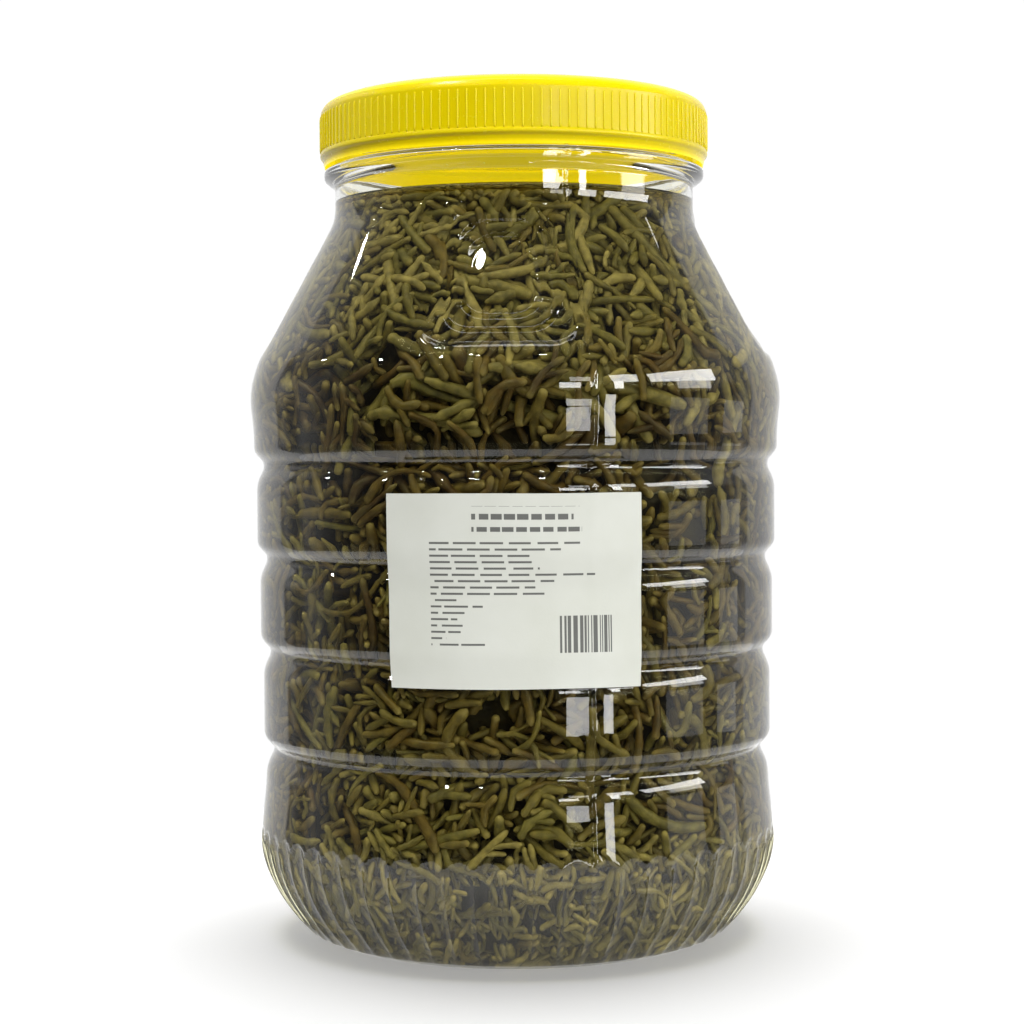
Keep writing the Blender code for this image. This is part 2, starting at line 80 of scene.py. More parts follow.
# %% rounded outlines
def rounded(corners, bend=5):
    """Points (radius, height) along an outline. A corner is (radius, height, rounding, step), where
    step is the longest stretch allowed up to the next corner."""
    corners = [(*corner[:2], corner[2] if len(corner) > 2 else 0.0, corner[3] if len(corner) > 3 else 1.0)
               for corner in corners]
    spots = np.array([corner[:2] for corner in corners], float)
    cuts = []
    for index, corner in enumerate(corners):
        if index in (0, len(corners) - 1) or not corner[2]:
            cuts.append([spots[index]])
            continue
        back, ahead = spots[index - 1] - spots[index], spots[index + 1] - spots[index]
        reach_back = min(corner[2], 0.49 * np.linalg.norm(back))
        reach_ahead = min(corner[2], 0.49 * np.linalg.norm(ahead))
        start = spots[index] + back / np.linalg.norm(back) * reach_back
        end = spots[index] + ahead / np.linalg.norm(ahead) * reach_ahead
        t = np.linspace(0.0, 1.0, bend)[:, None]
        cuts.append(list((1 - t) ** 2 * start + 2 * t * (1 - t) * spots[index] + t ** 2 * end))
    points = []
    for index, cut in enumerate(cuts):
        points.extend(cut)
        if index + 1 < len(cuts):
            gap = cuts[index + 1][0] - cut[-1]
            pieces = max(1, math.ceil(np.linalg.norm(gap) / corners[index][3]))
            points.extend(cut[-1] + gap * piece / pieces for piece in range(1, pieces))
    return np.array(points)


# %% [markdown]
# ## The jar's measures
# These are in millimetres, and follow the photograph within a millimetre or two of the solid model.
# The jar has five bands, each a little wider than the one below it, with a rounded groove between
# each two. Above them is a cone with four finger grips, and below them a bulge with sixty flutes that
# stiffen the base.

# %% measures of the jar
NECK, NECK_WALL, RIM = 61.2, 1.4, 279.2
BEAD, BEAD_LOW, BEAD_HIGH = 64.8, 253.6, 260.1
WALL, LOWEST_BAND, BAND_STEP = 1.1, 85.8, 0.9
GROOVES, GROOVE_DEPTH = (63.4, 96.5, 128.0, 159.5), 2.3
GROOVE_BELOW, GROOVE_ABOVE, GROOVE_HALF_FLOOR = 6.0, 4.7, 1.1
BUMPER, BUMPER_HEIGHT = 90.9, 184.0
FOOT_OUTER, FOOT_INNER, PUSH_UP = 66.5, 62.5, 12.0
BULGE, BULGE_HEIGHT, FOOT_EDGE = 88.0, 33.5, 69.9
FLUTES, FLUTE_DEPTH, FLUTE_TOP = 60, 1.5, 37.5
PARTING = 15.5
WIDEST = 90.45
LEVEL, IN_THE_WALL = 247.5, 0.36


def band_radius(band):
    return LOWEST_BAND + BAND_STEP * band


def cone_radius(height):
    return 85.7 - 0.552 * (height - 198.3)


def base_radius(height):
    return BULGE - (BULGE - FOOT_EDGE) * (1.0 - np.clip(height / BULGE_HEIGHT, 0.0, 1.0)) ** 1.93


def jar_outline():
    """The outside, from the middle of the underside to the rim, in millimetres."""
    corners = [(share * FOOT_INNER, PUSH_UP * (1.0 - share ** 2), 0.0, 9.0)
               for share in np.linspace(0.0, 0.96, 9)]
    corners += [(FOOT_INNER, 0.05, 1.2, 2.0), (FOOT_OUTER, 0.0, 2.2, 1.2)]
    corners += [(float(base_radius(h)), float(h), 0.0, 2.5) for h in np.arange(2.6, BULGE_HEIGHT, 1.3)]
    corners += [(BULGE, BULGE_HEIGHT), (BULGE - 0.1, 36.0, 1.0, 1.2), (BULGE - 0.45, 38.6, 2.0, 2.0)]
    corners += [(BULGE - 1.7, 50.4, 2.0, 2.0)]
    for groove, middle in enumerate(GROOVES):
        floor = band_radius(groove) - GROOVE_DEPTH
        corners += [
            (band_radius(groove) + (0.1 if groove == 0 else 0.0), middle - GROOVE_BELOW, 2.6, 1.0),
            (floor, middle - GROOVE_HALF_FLOOR, 1.1, 0.8),
            (floor, middle + GROOVE_HALF_FLOOR, 1.0, 1.0),
            (band_radius(groove + 1), middle + GROOVE_ABOVE, 1.7, 5.0),
        ]
    corners += [(band_radius(4), 171.5, 6.0, 2.5), (BUMPER, BUMPER_HEIGHT, 9.0, 1.5)]
    corners += [(float(cone_radius(194.5)), 194.5, 3.0, 0.62), (NECK, 242.7, 4.0, 2.0)]
    corners += [(NECK, BEAD_LOW, 0.8, 1.0), (BEAD, BEAD_LOW + 2.8, 0.9, 1.0)]
    corners += [(BEAD, BEAD_HIGH - 0.9, 0.8, 1.0), (NECK, BEAD_HIGH, 0.5, 0.6)]
    corners += [(NECK, RIM, 0.5, 0.6), (NECK - 0.6, RIM)]
    outline = rounded(corners)
    outline[:, 0] = np.minimum(outline[:, 0], WIDEST)
    return outline


outline = jar_outline()
print("the jar's outline has", len(outline), "points, and is", outline[:, 0].max().round(2), "mm in radius")

# %% [markdown]
# ## What isn't round about the jar
# Three things break the turned outline: the flutes, the grips and the line where the halves of the
# mould met. Each is a depth or height added to the radius, as a function of the azimuth and the
# height. A grip is three nested pockets, each a rounded trapezoid with a soft edge, because the
# photograph shows three thin lines of light running round inside one another.

# %% flutes, grips, screw ridge and parting line
GRIP_TURN = -3.4
GRIP_STEPS = (  # half width in degrees at the bottom and the top, lowest and highest, depth, edge
    (17.4, 14.6, 196.4, 240.8, 1.1, 2.0),
    (13.0, 11.4, 201.0, 236.6, 1.9, 2.2),
    (9.8, 8.6, 205.4, 232.0, 2.2, 2.4),
)
GRIP_DOME, GRIP_MIDDLE = 1.3, 218.6
PITCH, RIDGE_TURNS, RIDGE_BOTTOM, RIDGE_OUT = 6.35, 1.15, 267.5, 1.7


def soft_step(distance, width):
    share = np.clip(0.5 + distance / width, 0.0, 1.0)
    return share * share * (3.0 - 2.0 * share)


def turn_from(azimuth, centre):
    return (np.asarray(azimuth) - centre + 180.0) % 360.0 - 180.0


def flute_depth(azimuth, height):
    across = turn_from(azimuth * FLUTES, 0.0) / 180.0
    arch = FLUTE_TOP - 3.6 * across ** 2
    inside = np.clip((arch - height) / 4.5, 0.0, 1.0) ** 0.6
    foot = np.clip(height / 9.0, 0.0, 1.0)
    return FLUTE_DEPTH * (1.0 - np.abs(across) ** 2.6) * inside * foot


def grip_depth(azimuth, height):
    nearest = turn_from(turn_from(azimuth, GRIP_TURN) * 4.0, 0.0) / 4.0
    total = 0.0
    for wide, narrow, low, high, depth, edge in GRIP_STEPS:
        share = np.clip((height - low) / (high - low), 0.0, 1.0)
        half = np.radians(wide + (narrow - wide) * share) * cone_radius((low + high) / 2.0)
        side = np.abs(np.radians(nearest)) * cone_radius((low + high) / 2.0)
        corner = 9.0
        x = side - (half - corner)
        y = np.abs(height - (low + high) / 2.0) * 1.142 - ((high - low) / 2.0 * 1.142 - corner)
        beyond = np.hypot(np.maximum(x, 0.0), np.maximum(y, 0.0))
        outside = beyond + np.minimum(np.maximum(x, y), 0.0) - corner
        total = total + depth * soft_step(-outside, edge)
    dome = np.clip(1.0 - (side / 11.5) ** 2 - ((height - GRIP_MIDDLE) / 12.0) ** 2, 0.0, 1.0)
    return total - GRIP_DOME * dome


def screw_ridge(azimuth, height):
    out = 0.0
    for turn in (0, 1):
        along = (np.asarray(azimuth) % 360.0) / 360.0 + turn
        fade = np.clip(np.minimum(along, RIDGE_TURNS - along) * 14.0, 0.0, 1.0)
        middle = RIDGE_BOTTOM + PITCH * along
        out = np.maximum(out, RIDGE_OUT * fade * soft_step(1.0 - np.abs(height - middle), 1.6))
    return out


def parting_height(azimuth, height):
    wobble = 0.12 * np.sin(height * 0.9) + 0.08 * np.sin(height * 2.3 + 1.0)
    distance = np.abs((turn_from(azimuth, PARTING) + 90.0) % 180.0 - 90.0 - wobble)
    swell = 0.75 + 0.25 * np.sin(height * 1.7)
    return 0.5 * swell * np.clip(1.0 - distance / 0.45, 0.0, 1.0) * np.clip((height - 3.0) / 5.0, 0.0, 1.0)


def jar_radius(radius, azimuth, height):
    """The outside's radius where the plain outline has this radius. Underneath, it is left plain."""
    side = np.asarray(radius) > FOOT_OUTER + 0.5
    side = side | (np.asarray(height) > 100.0)
    changed = radius - flute_depth(azimuth, height) * (height < FLUTE_TOP + 1.0)
    changed = changed - grip_depth(azimuth, height) * ((height > 190.0) & (height < 246.0))
    changed = changed + screw_ridge(azimuth, height) * (height > BEAD_HIGH + 1.0)
    changed = changed + parting_height(azimuth, height) * (height < 262.0)
    return np.where(side, np.minimum(changed, WIDEST), radius)


print("a grip is", grip_depth(GRIP_TURN, 218.0).round(2), "mm deep, a flute", flute_depth(0.0, 20.0).round(2))

# %% [markdown]
# ## Turning a shape from rings
# A turned piece is a stack of rings. The fluted base needs eight columns for each flute and the
# plain bands only a few, so each ring has its own list of azimuths. Where two rings match they are
# joined with four-sided faces. Where they don't, the faces zip from one to the other, which
# leaves no gap, so that light bends through the wall as through one solid.

# %% rings to a mesh
def place(azimuth, radius, height):
    """Points in metres. The front is azimuth 0, towards -Y, and azimuths grow towards +X."""
    turn = np.radians(azimuth)
    return np.stack([radius * np.sin(turn), -radius * np.cos(turn), height + 0.0 * turn], axis=-1) * MM


def zip_rings(first, second, first_start, second_start):
    """Triangles between two rings of azimuths, both from 0 up to under 360."""
    faces, i, j = [], 0, 0
    many, more = len(first), len(second)
    while i < many or j < more:
        next_first = first[i + 1] if i + 1 < many else (360.0 if i < many else np.inf)
        next_second = second[j + 1] if j + 1 < more else (360.0 if j < more else np.inf)
        a, b = first_start + i % many, second_start + j % more
        if next_first <= next_second:
            faces.append((a, first_start + (i + 1) % many, b))
            i += 1
        else:
            faces.append((a, second_start + (j + 1) % more, b))
            j += 1
    return faces


def turned(name, rings, look, smooth_under=40.0, flat_first=False):
    """A mesh from rings, each (azimuths, radii, heights) in millimetres. A ring of one is a pole."""
    points, faces, starts, count = [], [], [], 0
    for azimuths, radii, heights in rings:
        azimuths = np.atleast_1d(azimuths)
        points.append(place(azimuths, np.broadcast_to(radii, azimuths.shape),
                            np.broadcast_to(heights, azimuths.shape)))
        starts.append(count)
        count += len(azimuths)
    for index in range(len(rings) - 1):
        first, second = np.atleast_1d(rings[index][0]), np.atleast_1d(rings[index + 1][0])
        a, b = starts[index], starts[index + 1]
        if len(first) == 1 or len(second) == 1:
            many = max(len(first), len(second))
            for k in range(many):
                after = (k + 1) % many
                faces.append((a, b + after, b + k) if len(first) == 1 else (a + k, a + after, b))
        elif len(first) == len(second) and np.allclose(first, second):
            k = np.arange(len(first))
            after = (k + 1) % len(first)
            faces.extend(map(tuple, np.stack([a + k, a + after, b + after, b + k], axis=1).tolist()))
        else:
            faces.extend(zip_rings(first, second, a, b))
    mesh = bpy.data.meshes.new(name)
    mesh.from_pydata(np.concatenate(points).tolist(), [], faces)
    return finished(name, mesh, look, smooth_under, flat_first)


def finished(name, mesh, look, smooth_under=40.0, flat_first=False):
    """An object from a closed mesh, with its faces turned outwards and smooth shading. With
    flat_first large faces keep their own direction, so that a rounding doesn't bleed into a flat."""
    bm = bmesh.new()
    bm.from_mesh(mesh)
    bmesh.ops.remove_doubles(bm, verts=bm.verts, dist=1e-7)
    bmesh.ops.recalc_face_normals(bm, faces=bm.faces)
    if bm.calc_volume(signed=True) < 0.0:
        bmesh.ops.reverse_faces(bm, faces=bm.faces)
    open_edges = sum(1 for edge in bm.edges if len(edge.link_faces) != 2)
    bm.to_mesh(mesh)
    bm.free()
    mesh.shade_smooth()
    if smooth_under:
        mesh.set_sharp_from_angle(angle=math.radians(smooth_under))
    mesh.materials.append(look)
    made = bpy.data.objects.new(name, mesh)
    bpy.context.scene.collection.objects.link(made)
    if flat_first:
        even_out = made.modifiers.new("shading", "WEIGHTED_NORMAL")
        even_out.weight, even_out.keep_sharp = 50, True
        graph = bpy.context.evaluated_depsgraph_get()
        made.data = bpy.data.meshes.new_from_object(made.evaluated_get(graph), depsgraph=graph)
        made.modifiers.clear()
    made.data.calc_loop_triangles()
    print(name, len(made.data.loop_triangles), "triangles,", open_edges, "open edges")
    return made


# %% [markdown]
# ## Small variations that several finishes share
# Nothing moulded, printed or grown has one even colour. One node group gives a slow mottling and a
# fine speckle, and each finish sets its own scales and mixes its own colours with them.

# %% mottling group
def link(tree, source, target):
    tree.links.new(source, target)


def math_node(tree, operation, first, second=None, third=None):
    node = tree.nodes.new("ShaderNodeMath")
    node.operation = operation
    for index, value in enumerate((first, second, third)):
        if value is None:
            continue
        if isinstance(value, (int, float)):
            node.inputs[index].default_value = value
        else:
            link(tree, value, node.inputs[index])
    return node.outputs["Value"]


def shader_group(name, inputs, outputs):
    """A group whose sockets are all plain numbers. An input is (name, value)."""
    tree = bpy.data.node_groups.new(name, "ShaderNodeTree")
    for title, value in inputs:
        socket = tree.interface.new_socket(name=title, in_out="INPUT", socket_type="NodeSocketFloat")
        socket.default_value = value
    for title in outputs:
        tree.interface.new_socket(name=title, in_out="OUTPUT", socket_type="NodeSocketFloat")
    return tree, tree.nodes.new("NodeGroupInput"), tree.nodes.new("NodeGroupOutput")


def build_mottling():
    scales = (("Broad Scale", 40.0), ("Fine Scale", 400.0), ("Stretch", 1.0))
    tree, entry, leave = shader_group("mottling", scales, ("Broad", "Fine", "Both"))
    nodes = tree.nodes
    where = nodes.new("ShaderNodeTexCoord")
    stretch = nodes.new("ShaderNodeCombineXYZ")
    stretch.inputs["X"].default_value = stretch.inputs["Y"].default_value = 1.0
    link(tree, entry.outputs["Stretch"], stretch.inputs["Z"])
    scaled = nodes.new("ShaderNodeVectorMath")
    scaled.operation = "MULTIPLY"
    link(tree, where.outputs["Object"], scaled.inputs[0])
    link(tree, stretch.outputs["Vector"], scaled.inputs[1])
    noises = []
    for name, detail in (("Broad", 3.0), ("Fine", 2.0)):
        noise = nodes.new("ShaderNodeTexNoise")
        noise.inputs["Detail"].default_value = detail
        link(tree, scaled.outputs["Vector"], noise.inputs["Vector"])
        link(tree, entry.outputs[name + " Scale"], noise.inputs["Scale"])
        link(tree, noise.outputs["Fac"], leave.inputs[name])
        noises.append(noise)
    both = math_node(tree, "MULTIPLY", noises[0].outputs["Fac"], noises[1].outputs["Fac"])
    link(tree, both, leave.inputs["Both"])
    return tree


MOTTLING = build_mottling()


def new_finish(name, roughness, **sockets):
    """A material with its Principled shader and a mottling group that is ready to be linked."""
    made = bpy.data.materials.new(name)
    made.use_nodes = True
    tree = made.node_tree
    shader = tree.nodes["Principled BSDF"]
    shader.inputs["Roughness"].default_value = roughness
    for socket, value in sockets.items():
        shader.inputs[socket.replace("_", " ")].default_value = value
    mottling = tree.nodes.new("ShaderNodeGroup")
    mottling.node_tree = MOTTLING
    return made, tree, shader, mottling


def ramp(tree, source, stops):
    """A colour ramp read at source. A stop is (place, value or colour)."""
    node = tree.nodes.new("ShaderNodeValToRGB")
    while len(node.color_ramp.elements) < len(stops):
        node.color_ramp.elements.new(0.5)
    for element, (spot, value) in zip(node.color_ramp.elements, stops):
        element.position = spot
        element.color = (*value, 1.0) if isinstance(value, tuple) else (value, value, value, 1.0)
    link(tree, source, node.inputs["Fac"])
    return node.outputs["Color"]


def blend(tree, factor, first, second, kind="MIX"):
    """Two colours mixed by a factor. Each of the three is a value or an output to read."""
    node = tree.nodes.new("ShaderNodeMix")
    node.data_type, node.blend_type = "RGBA", kind
    for place_in_node, value in ((0, factor), (6, first), (7, second)):
        if isinstance(value, bpy.types.NodeSocket):
            link(tree, value, node.inputs[place_in_node])
        else:
            node.inputs[place_in_node].default_value = value
    return node.outputs[2]


def add_bump(tree, shader, height, depth, strength=1.0):
    bump = tree.nodes.new("ShaderNodeBump")
    bump.inputs["Strength"].default_value = strength
    bump.inputs["Distance"].default_value = depth * MM
    link(tree, height, bump.inputs["Height"])
    link(tree, bump.outputs["Normal"], shader.inputs["Normal"])


def let_lamps_through(tree, shader, tint):
    """Rays from lamps and from matt surfaces cross the glass straight, so that what is inside is
    lit without noise. The camera still sees real glass."""
    path = tree.nodes.new("ShaderNodeLightPath")
    clear = tree.nodes.new("ShaderNodeBsdfTransparent")
    clear.inputs["Color"].default_value = (*tint, 1.0)
    shown = shader.outputs["BSDF"]
    for kind in ("Is Shadow Ray", "Is Diffuse Ray"):
        mix = tree.nodes.new("ShaderNodeMixShader")
        link(tree, path.outputs[kind], mix.inputs[0])
        link(tree, shown, mix.inputs[1])
        link(tree, clear.outputs["BSDF"], mix.inputs[2])
        shown = mix.outputs["Shader"]
    link(tree, shown, tree.nodes["Material Output"].inputs["Surface"])


# %% [markdown]
# ## The jar's wall
# The real jar is blown from clear PET, about a millimetre thick. The wall is one closed solid with
# an outside and an inside, since glass and clear plastic only look right when light really enters
# and leaves them. The outside carries all the detail. The inside is a plainer copy that stays at
# least a wall's thickness behind it, which a table of the lowest radius nearby makes sure of.

# %% clear plastic
CLEAR_PLASTIC, tree, shader, mottling = new_finish(
    "clear_plastic", 0.0, Transmission_Weight=1.0, IOR=1.57)
shader.inputs["Base Color"].default_value = (0.965, 0.975, 0.955, 1.0)
mottling.inputs["Broad Scale"].default_value = 55.0
mottling.inputs["Fine Scale"].default_value = 260.0
mottling.inputs["Stretch"].default_value = 0.35
link(tree, ramp(tree, mottling.outputs["Fine"], [(0.45, 0.0), (0.75, 0.03)]), shader.inputs["Roughness"])
add_bump(tree, shader, mottling.outputs["Broad"], 0.07, 0.5)
let_lamps_through(tree, shader, (0.97, 0.98, 0.96))

# %% the plastic where brine touches it
WETTED = CLEAR_PLASTIC.copy()
WETTED.name = "wetted_plastic"
WETTED.node_tree.nodes["Principled BSDF"].inputs["IOR"].default_value = 1.57 / 1.34

# %% a second finish on some faces
def faces_of(mesh):
    """Distance from the axis, height, and how far each face looks outwards and upwards."""
    centre, normal = np.empty((2, len(mesh.polygons) * 3), np.float32)
    mesh.polygons.foreach_get("center", centre)
    mesh.polygons.foreach_get("normal", normal)
    centre, normal = centre.reshape(-1, 3) / MM, normal.reshape(-1, 3)
    across = np.hypot(centre[:, 0], centre[:, 1]) + 1e-9
    outwards = (centre[:, :2] * normal[:, :2]).sum(axis=1) / across
    return across, centre[:, 2], outwards, normal[:, 2]


def second_finish(made, look, chosen):
    made.data.materials.append(look)
    made.data.polygons.foreach_set("material_index", chosen.astype(np.int32))
    made.data.update()
    print(made.name, int(chosen.sum()), "of", len(chosen), "faces have the finish", look.name)


# %% the jar
def even(columns):
    return np.arange(columns) * 360.0 / columns


def with_parting(azimuths):
    beside = (-0.9, -0.45, -0.15, 0.15, 0.45, 0.9)
    extra = [PARTING + side + near for side in (0.0, 180.0) for near in beside]
    kept = [a for a in azimuths if min(abs((turn_from(a, PARTING) + 90.0) % 180.0 - 90.0), 9.0) > 1.1]
    return np.sort(np.array([*kept, *np.mod(extra, 360.0)]))


def grip_columns():
    columns = []
    for quarter, apart in enumerate((0.42, 0.7, 0.9, 0.7)):
        centre = GRIP_TURN + quarter * 90.0
        columns.extend(centre + np.arange(-18.6, 18.61, apart))
        columns.extend(centre + 45.0 + np.arange(-24.0, 24.1, 3.0))
    return with_parting(np.sort(np.mod(columns, 360.0)))


BODY_COLUMNS, SHOULDER_COLUMNS = with_parting(even(150)), grip_columns()
BASE_COLUMNS, NECK_COLUMNS, FOOT_COLUMNS = even(FLUTES * 8), with_parting(even(150)), even(120)


def columns_at(height, underside):
    if underside:
        return FOOT_COLUMNS
    if height < FLUTE_TOP + 1.5:
        return BASE_COLUMNS
    if height < 193.0:
        return BODY_COLUMNS
    return SHOULDER_COLUMNS if height < 243.0 else NECK_COLUMNS


side_from = int(np.argmax(outline[:, 0] > FOOT_OUTER + 1.0))
side = outline[side_from:]
side = side[: int(np.argmax(side[:, 1] >= RIM - 0.3))]


def plain_radius(height):
    return np.interp(height, side[:, 1], side[:, 0])


def inner_radius_table():
    """The inside's radius at every 3 degrees and every millimetre of height."""
    azimuths, heights = np.meshgrid(even(120), np.arange(0.0, 281.0), indexing="ij")
    lowest = np.full(azimuths.shape, np.inf)
    for turn in (-3.0, -2.0, -1.0, 0.0, 1.0, 2.0, 3.0):
        for rise in (-1.2, 0.0, 1.2):
            near = np.clip(heights + rise, 2.6, RIM)
            lowest = np.minimum(lowest, jar_radius(plain_radius(near), azimuths + turn, near))
    straight = np.where(heights > 247.0, np.minimum(lowest, NECK), lowest)
    return straight - np.where(heights > 243.0, NECK_WALL, WALL)


INNER = inner_radius_table()


def inner_radius(azimuth, height):
    """The table read between its entries."""
    a = np.mod(azimuth, 360.0) / 3.0
    h = np.clip(height, 0.0, 279.9)
    a0, h0 = np.floor(a).astype(int) % 120, np.floor(h).astype(int)
    fa, fh = a - np.floor(a), h - h0
    a1, h1 = (a0 + 1) % 120, h0 + 1
    low = INNER[a0, h0] * (1 - fa) + INNER[a1, h0] * fa
    high = INNER[a0, h1] * (1 - fa) + INNER[a1, h1] * fa
    return low * (1 - fh) + high * fh


def inner_heights():
    heights, height = [], 4.0
    while height < 277.5:
        heights.append(height)
        near = min(abs(height - groove) for groove in GROOVES)
        fine = near < 9.0 or 192.0 < height < 244.0 or height > 252.0
        height += 1.7 if fine else 3.4
    return heights


def inner_rings(out=0.0, top=None):
    """Rings of the inside from the middle of the floor up, moved out into the wall by out."""
    rings = [(0.0, 0.0, PUSH_UP + WALL - out)]
    for share in (0.25, 0.5, 0.7, 0.85, 0.95):
        rings.append((even(120), FOOT_INNER * share, PUSH_UP * (1.0 - share ** 2) + WALL - out))
    rings.append((even(120), FOOT_INNER + 0.6, 0.35 + WALL - out))
    rings.append((even(120), FOOT_OUTER - 0.8, 0.15 + WALL - out))
    rings.append((even(120), FOOT_OUTER + 1.2 + out * 0.5, 0.9 + WALL - out * 0.7))
    for height in inner_heights():
        if top is None or height < top - 2.0:
            rings.append((even(120), inner_radius(even(120), height) + out, height))
    return rings


def jar_rings():
    rings = [(0.0, 0.0, PUSH_UP)]
    for index, (radius, height) in enumerate(outline):
        if index == 0:
            continue
        columns = columns_at(height, index < side_from)
        rings.append((columns, jar_radius(radius, columns, height), height))
    rings.append((even(120), NECK - NECK_WALL + 0.4, RIM))
    rings.append((even(120), NECK - NECK_WALL, RIM - 0.5))
    return rings + inner_rings()[::-1]


jar = turned("jar_wall", jar_rings(), CLEAR_PLASTIC, flat_first=True)
across, height, outwards, upwards = faces_of(jar.data)
on_the_floor = (across < FOOT_OUTER) & (height < PUSH_UP + 4.0)
inside = np.where(on_the_floor, upwards > 0.0, outwards < 0.0)
second_finish(jar, WETTED, inside & (height < LEVEL))
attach(jar, "jar")
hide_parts("jar")

# %% [markdown]
# ## The cap
# The screw cap is moulded in saturated yellow polypropylene. Its skirt has 140 thin upright ribs
# for grip, a smooth line under them and a lip that turns in at the bottom. The body is turned, and
# a Geometry Nodes tree sets one rib round it 140 times: the rib's mesh is made once, and the
# number, the radius and the height are named inputs.

# %% measures of the cap
CAP, CAP_WALL, CAP_TOP, CAP_BOTTOM, CAP_EDGE = 66.0, 1.8, 283.0, 260.5, 6.0
RIBS, RIB_LOW, RIB_HIGH = 140, 265.3, 277.6
CAP_BORE = CAP - CAP_WALL

# %% yellow plastic
def build_cap_zones():
    """Masks by place: the ribs' fronts, which get a painted highlight, and the inside of the cap and its
    lower lip, which get a painted glow.
    """
    tree, _, leave = shader_group("cap zones", (), ("Rib Fronts", "Inside", "Lip"))
    where = tree.nodes.new("ShaderNodeTexCoord")
    flat, across = tree.nodes.new("ShaderNodeVectorMath"), tree.nodes.new("ShaderNodeVectorMath")
    flat.operation, across.operation = "MULTIPLY", "LENGTH"
    flat.inputs[1].default_value = (1.0, 1.0, 0.0)
    link(tree, where.outputs["Object"], flat.inputs[0])
    link(tree, flat.outputs["Vector"], across.inputs[0])
    split = tree.nodes.new("ShaderNodeSeparateXYZ")
    link(tree, where.outputs["Object"], split.inputs["Vector"])
    zones = (("Rib Fronts", across.outputs["Value"], CAP + 0.05, CAP + 0.22),
             ("Inside", across.outputs["Value"], CAP - 1.0, CAP - 1.4),
             ("Lip", split.outputs["Z"], CAP_BOTTOM + 2.7, CAP_BOTTOM + 1.3))
    for name, source, low, high in zones:
        soft = tree.nodes.new("ShaderNodeMapRange")
        for title, value in (("From Min", low), ("From Max", high)):
            soft.inputs[title].default_value = value * MM
        link(tree, source, soft.inputs["Value"])
        mask = soft.outputs["Result"]
        if name == "Inside":
            under = math_node(tree, "LESS_THAN", split.outputs["Z"], (CAP_TOP - 1.5) * MM)
            mask = math_node(tree, "MULTIPLY", mask, under)
        link(tree, mask, leave.inputs[name])
    return tree


YELLOW, tree, shader, mottling = new_finish("yellow_plastic", 0.3, IOR=1.49, Subsurface_Weight=0.35,
                                            Subsurface_Scale=0.002, Specular_IOR_Level=0.22)
shader.inputs["Subsurface Radius"].default_value = (1.0, 0.75, 0.05)
mottling.inputs["Broad Scale"].default_value = 30.0
mottling.inputs["Fine Scale"].default_value = 500.0
zones = tree.nodes.new("ShaderNodeGroup")
zones.node_tree = build_cap_zones()
moulded = ramp(tree, mottling.outputs["Broad"],
               [(0.3, (0.600, 0.474, 0.001)), (0.7, (0.640, 0.510, 0.001))])
# painted highlight: the ribs' fronts are a lighter yellow, where they catch the light
rib_highlight = blend(tree, zones.outputs["Rib Fronts"], moulded, (0.66, 0.545, 0.012, 1.0))
link(tree, rib_highlight, shader.inputs["Base Color"])
# painted glow: an emission on the inside of the cap, and a faint one on its lower lip, stands in for light
# that soaks through the thin plastic, so the inside doesn't lie in the dark
lit_lip = blend(tree, zones.outputs["Lip"], (0.0, 0.0, 0.0, 1.0), (0.08, 0.055, 0.0, 1.0))
glow = blend(tree, zones.outputs["Inside"], lit_lip, (0.60, 0.47, 0.004, 1.0))
link(tree, glow, shader.inputs["Emission Color"])
shader.inputs["Emission Strength"].default_value = 1.0
link(tree, ramp(tree, mottling.outputs["Fine"], [(0.3, 0.20), (0.7, 0.28)]), shader.inputs["Roughness"])
add_bump(tree, shader, mottling.outputs["Both"], 0.006, 0.4)

# %% the cap's body
def cap_outline():
    """From the middle of the underside down the inside, round the lip and back over the top."""
    under = CAP_TOP - CAP_WALL
    return rounded([
        (0.0, under, 0.0, 12.0), (CAP_BORE - 3.0, under, 1.5, 1.0), (CAP_BORE, under - 3.5, 1.5, 3.0),
        (CAP_BORE, CAP_BOTTOM + 0.5, 0.3, 1.0), (CAP_BORE + 0.5, CAP_BOTTOM, 0.25, 1.0),
        (CAP - 1.35, CAP_BOTTOM, 0.45, 1.0), (CAP - 0.75, CAP_BOTTOM + 2.6, 0.5, 1.0),
        (CAP + 0.12, CAP_BOTTOM + 3.4, 0.45, 1.0), (CAP + 0.12, CAP_BOTTOM + 4.3, 0.4, 1.0),
        (CAP - 0.1, CAP_BOTTOM + 4.9, 0.3, 3.0), (CAP - 0.1, RIB_HIGH + 0.1, 0.3, 1.0),
        (CAP - 0.1, CAP_TOP - 4.2, 2.2, 1.0), (CAP - 1.6, CAP_TOP - 1.6, 2.4, 1.0),
        (CAP - CAP_EDGE, CAP_TOP - 0.02, 2.6, 2.0), (CAP - 11.0, CAP_TOP - 0.05, 0.6, 1.0),
        (CAP - 11.8, CAP_TOP - 0.6, 0.5, 1.0), (CAP - 13.6, CAP_TOP - 0.6, 0.5, 1.0),
        (CAP - 14.4, CAP_TOP - 0.1, 0.6, 12.0),
        (2.6, CAP_TOP - 0.1, 0.4, 1.0), (2.2, CAP_TOP - 0.4, 0.3, 1.0),
        (0.0, CAP_TOP - 0.4),
    ], bend=6)


def cap_ridge(azimuth, radius, height):
    """The screw ridge inside the skirt, half a turn of pitch below the neck's."""
    out = 0.0
    for turn in (0, 1):
        along = (azimuth % 360.0) / 360.0 + turn
        fade = np.clip(np.minimum(along, RIDGE_TURNS - along) * 14.0, 0.0, 1.0)
        middle = RIDGE_BOTTOM - PITCH / 2.0 + PITCH * along
        out = np.maximum(out, 2.1 * fade * soft_step(1.0 - np.abs(height - middle), 1.6))
    inside = abs(radius - CAP_BORE) < 0.05 and height > CAP_BOTTOM + 1.2
    return radius - (out if inside else 0.0 * out)


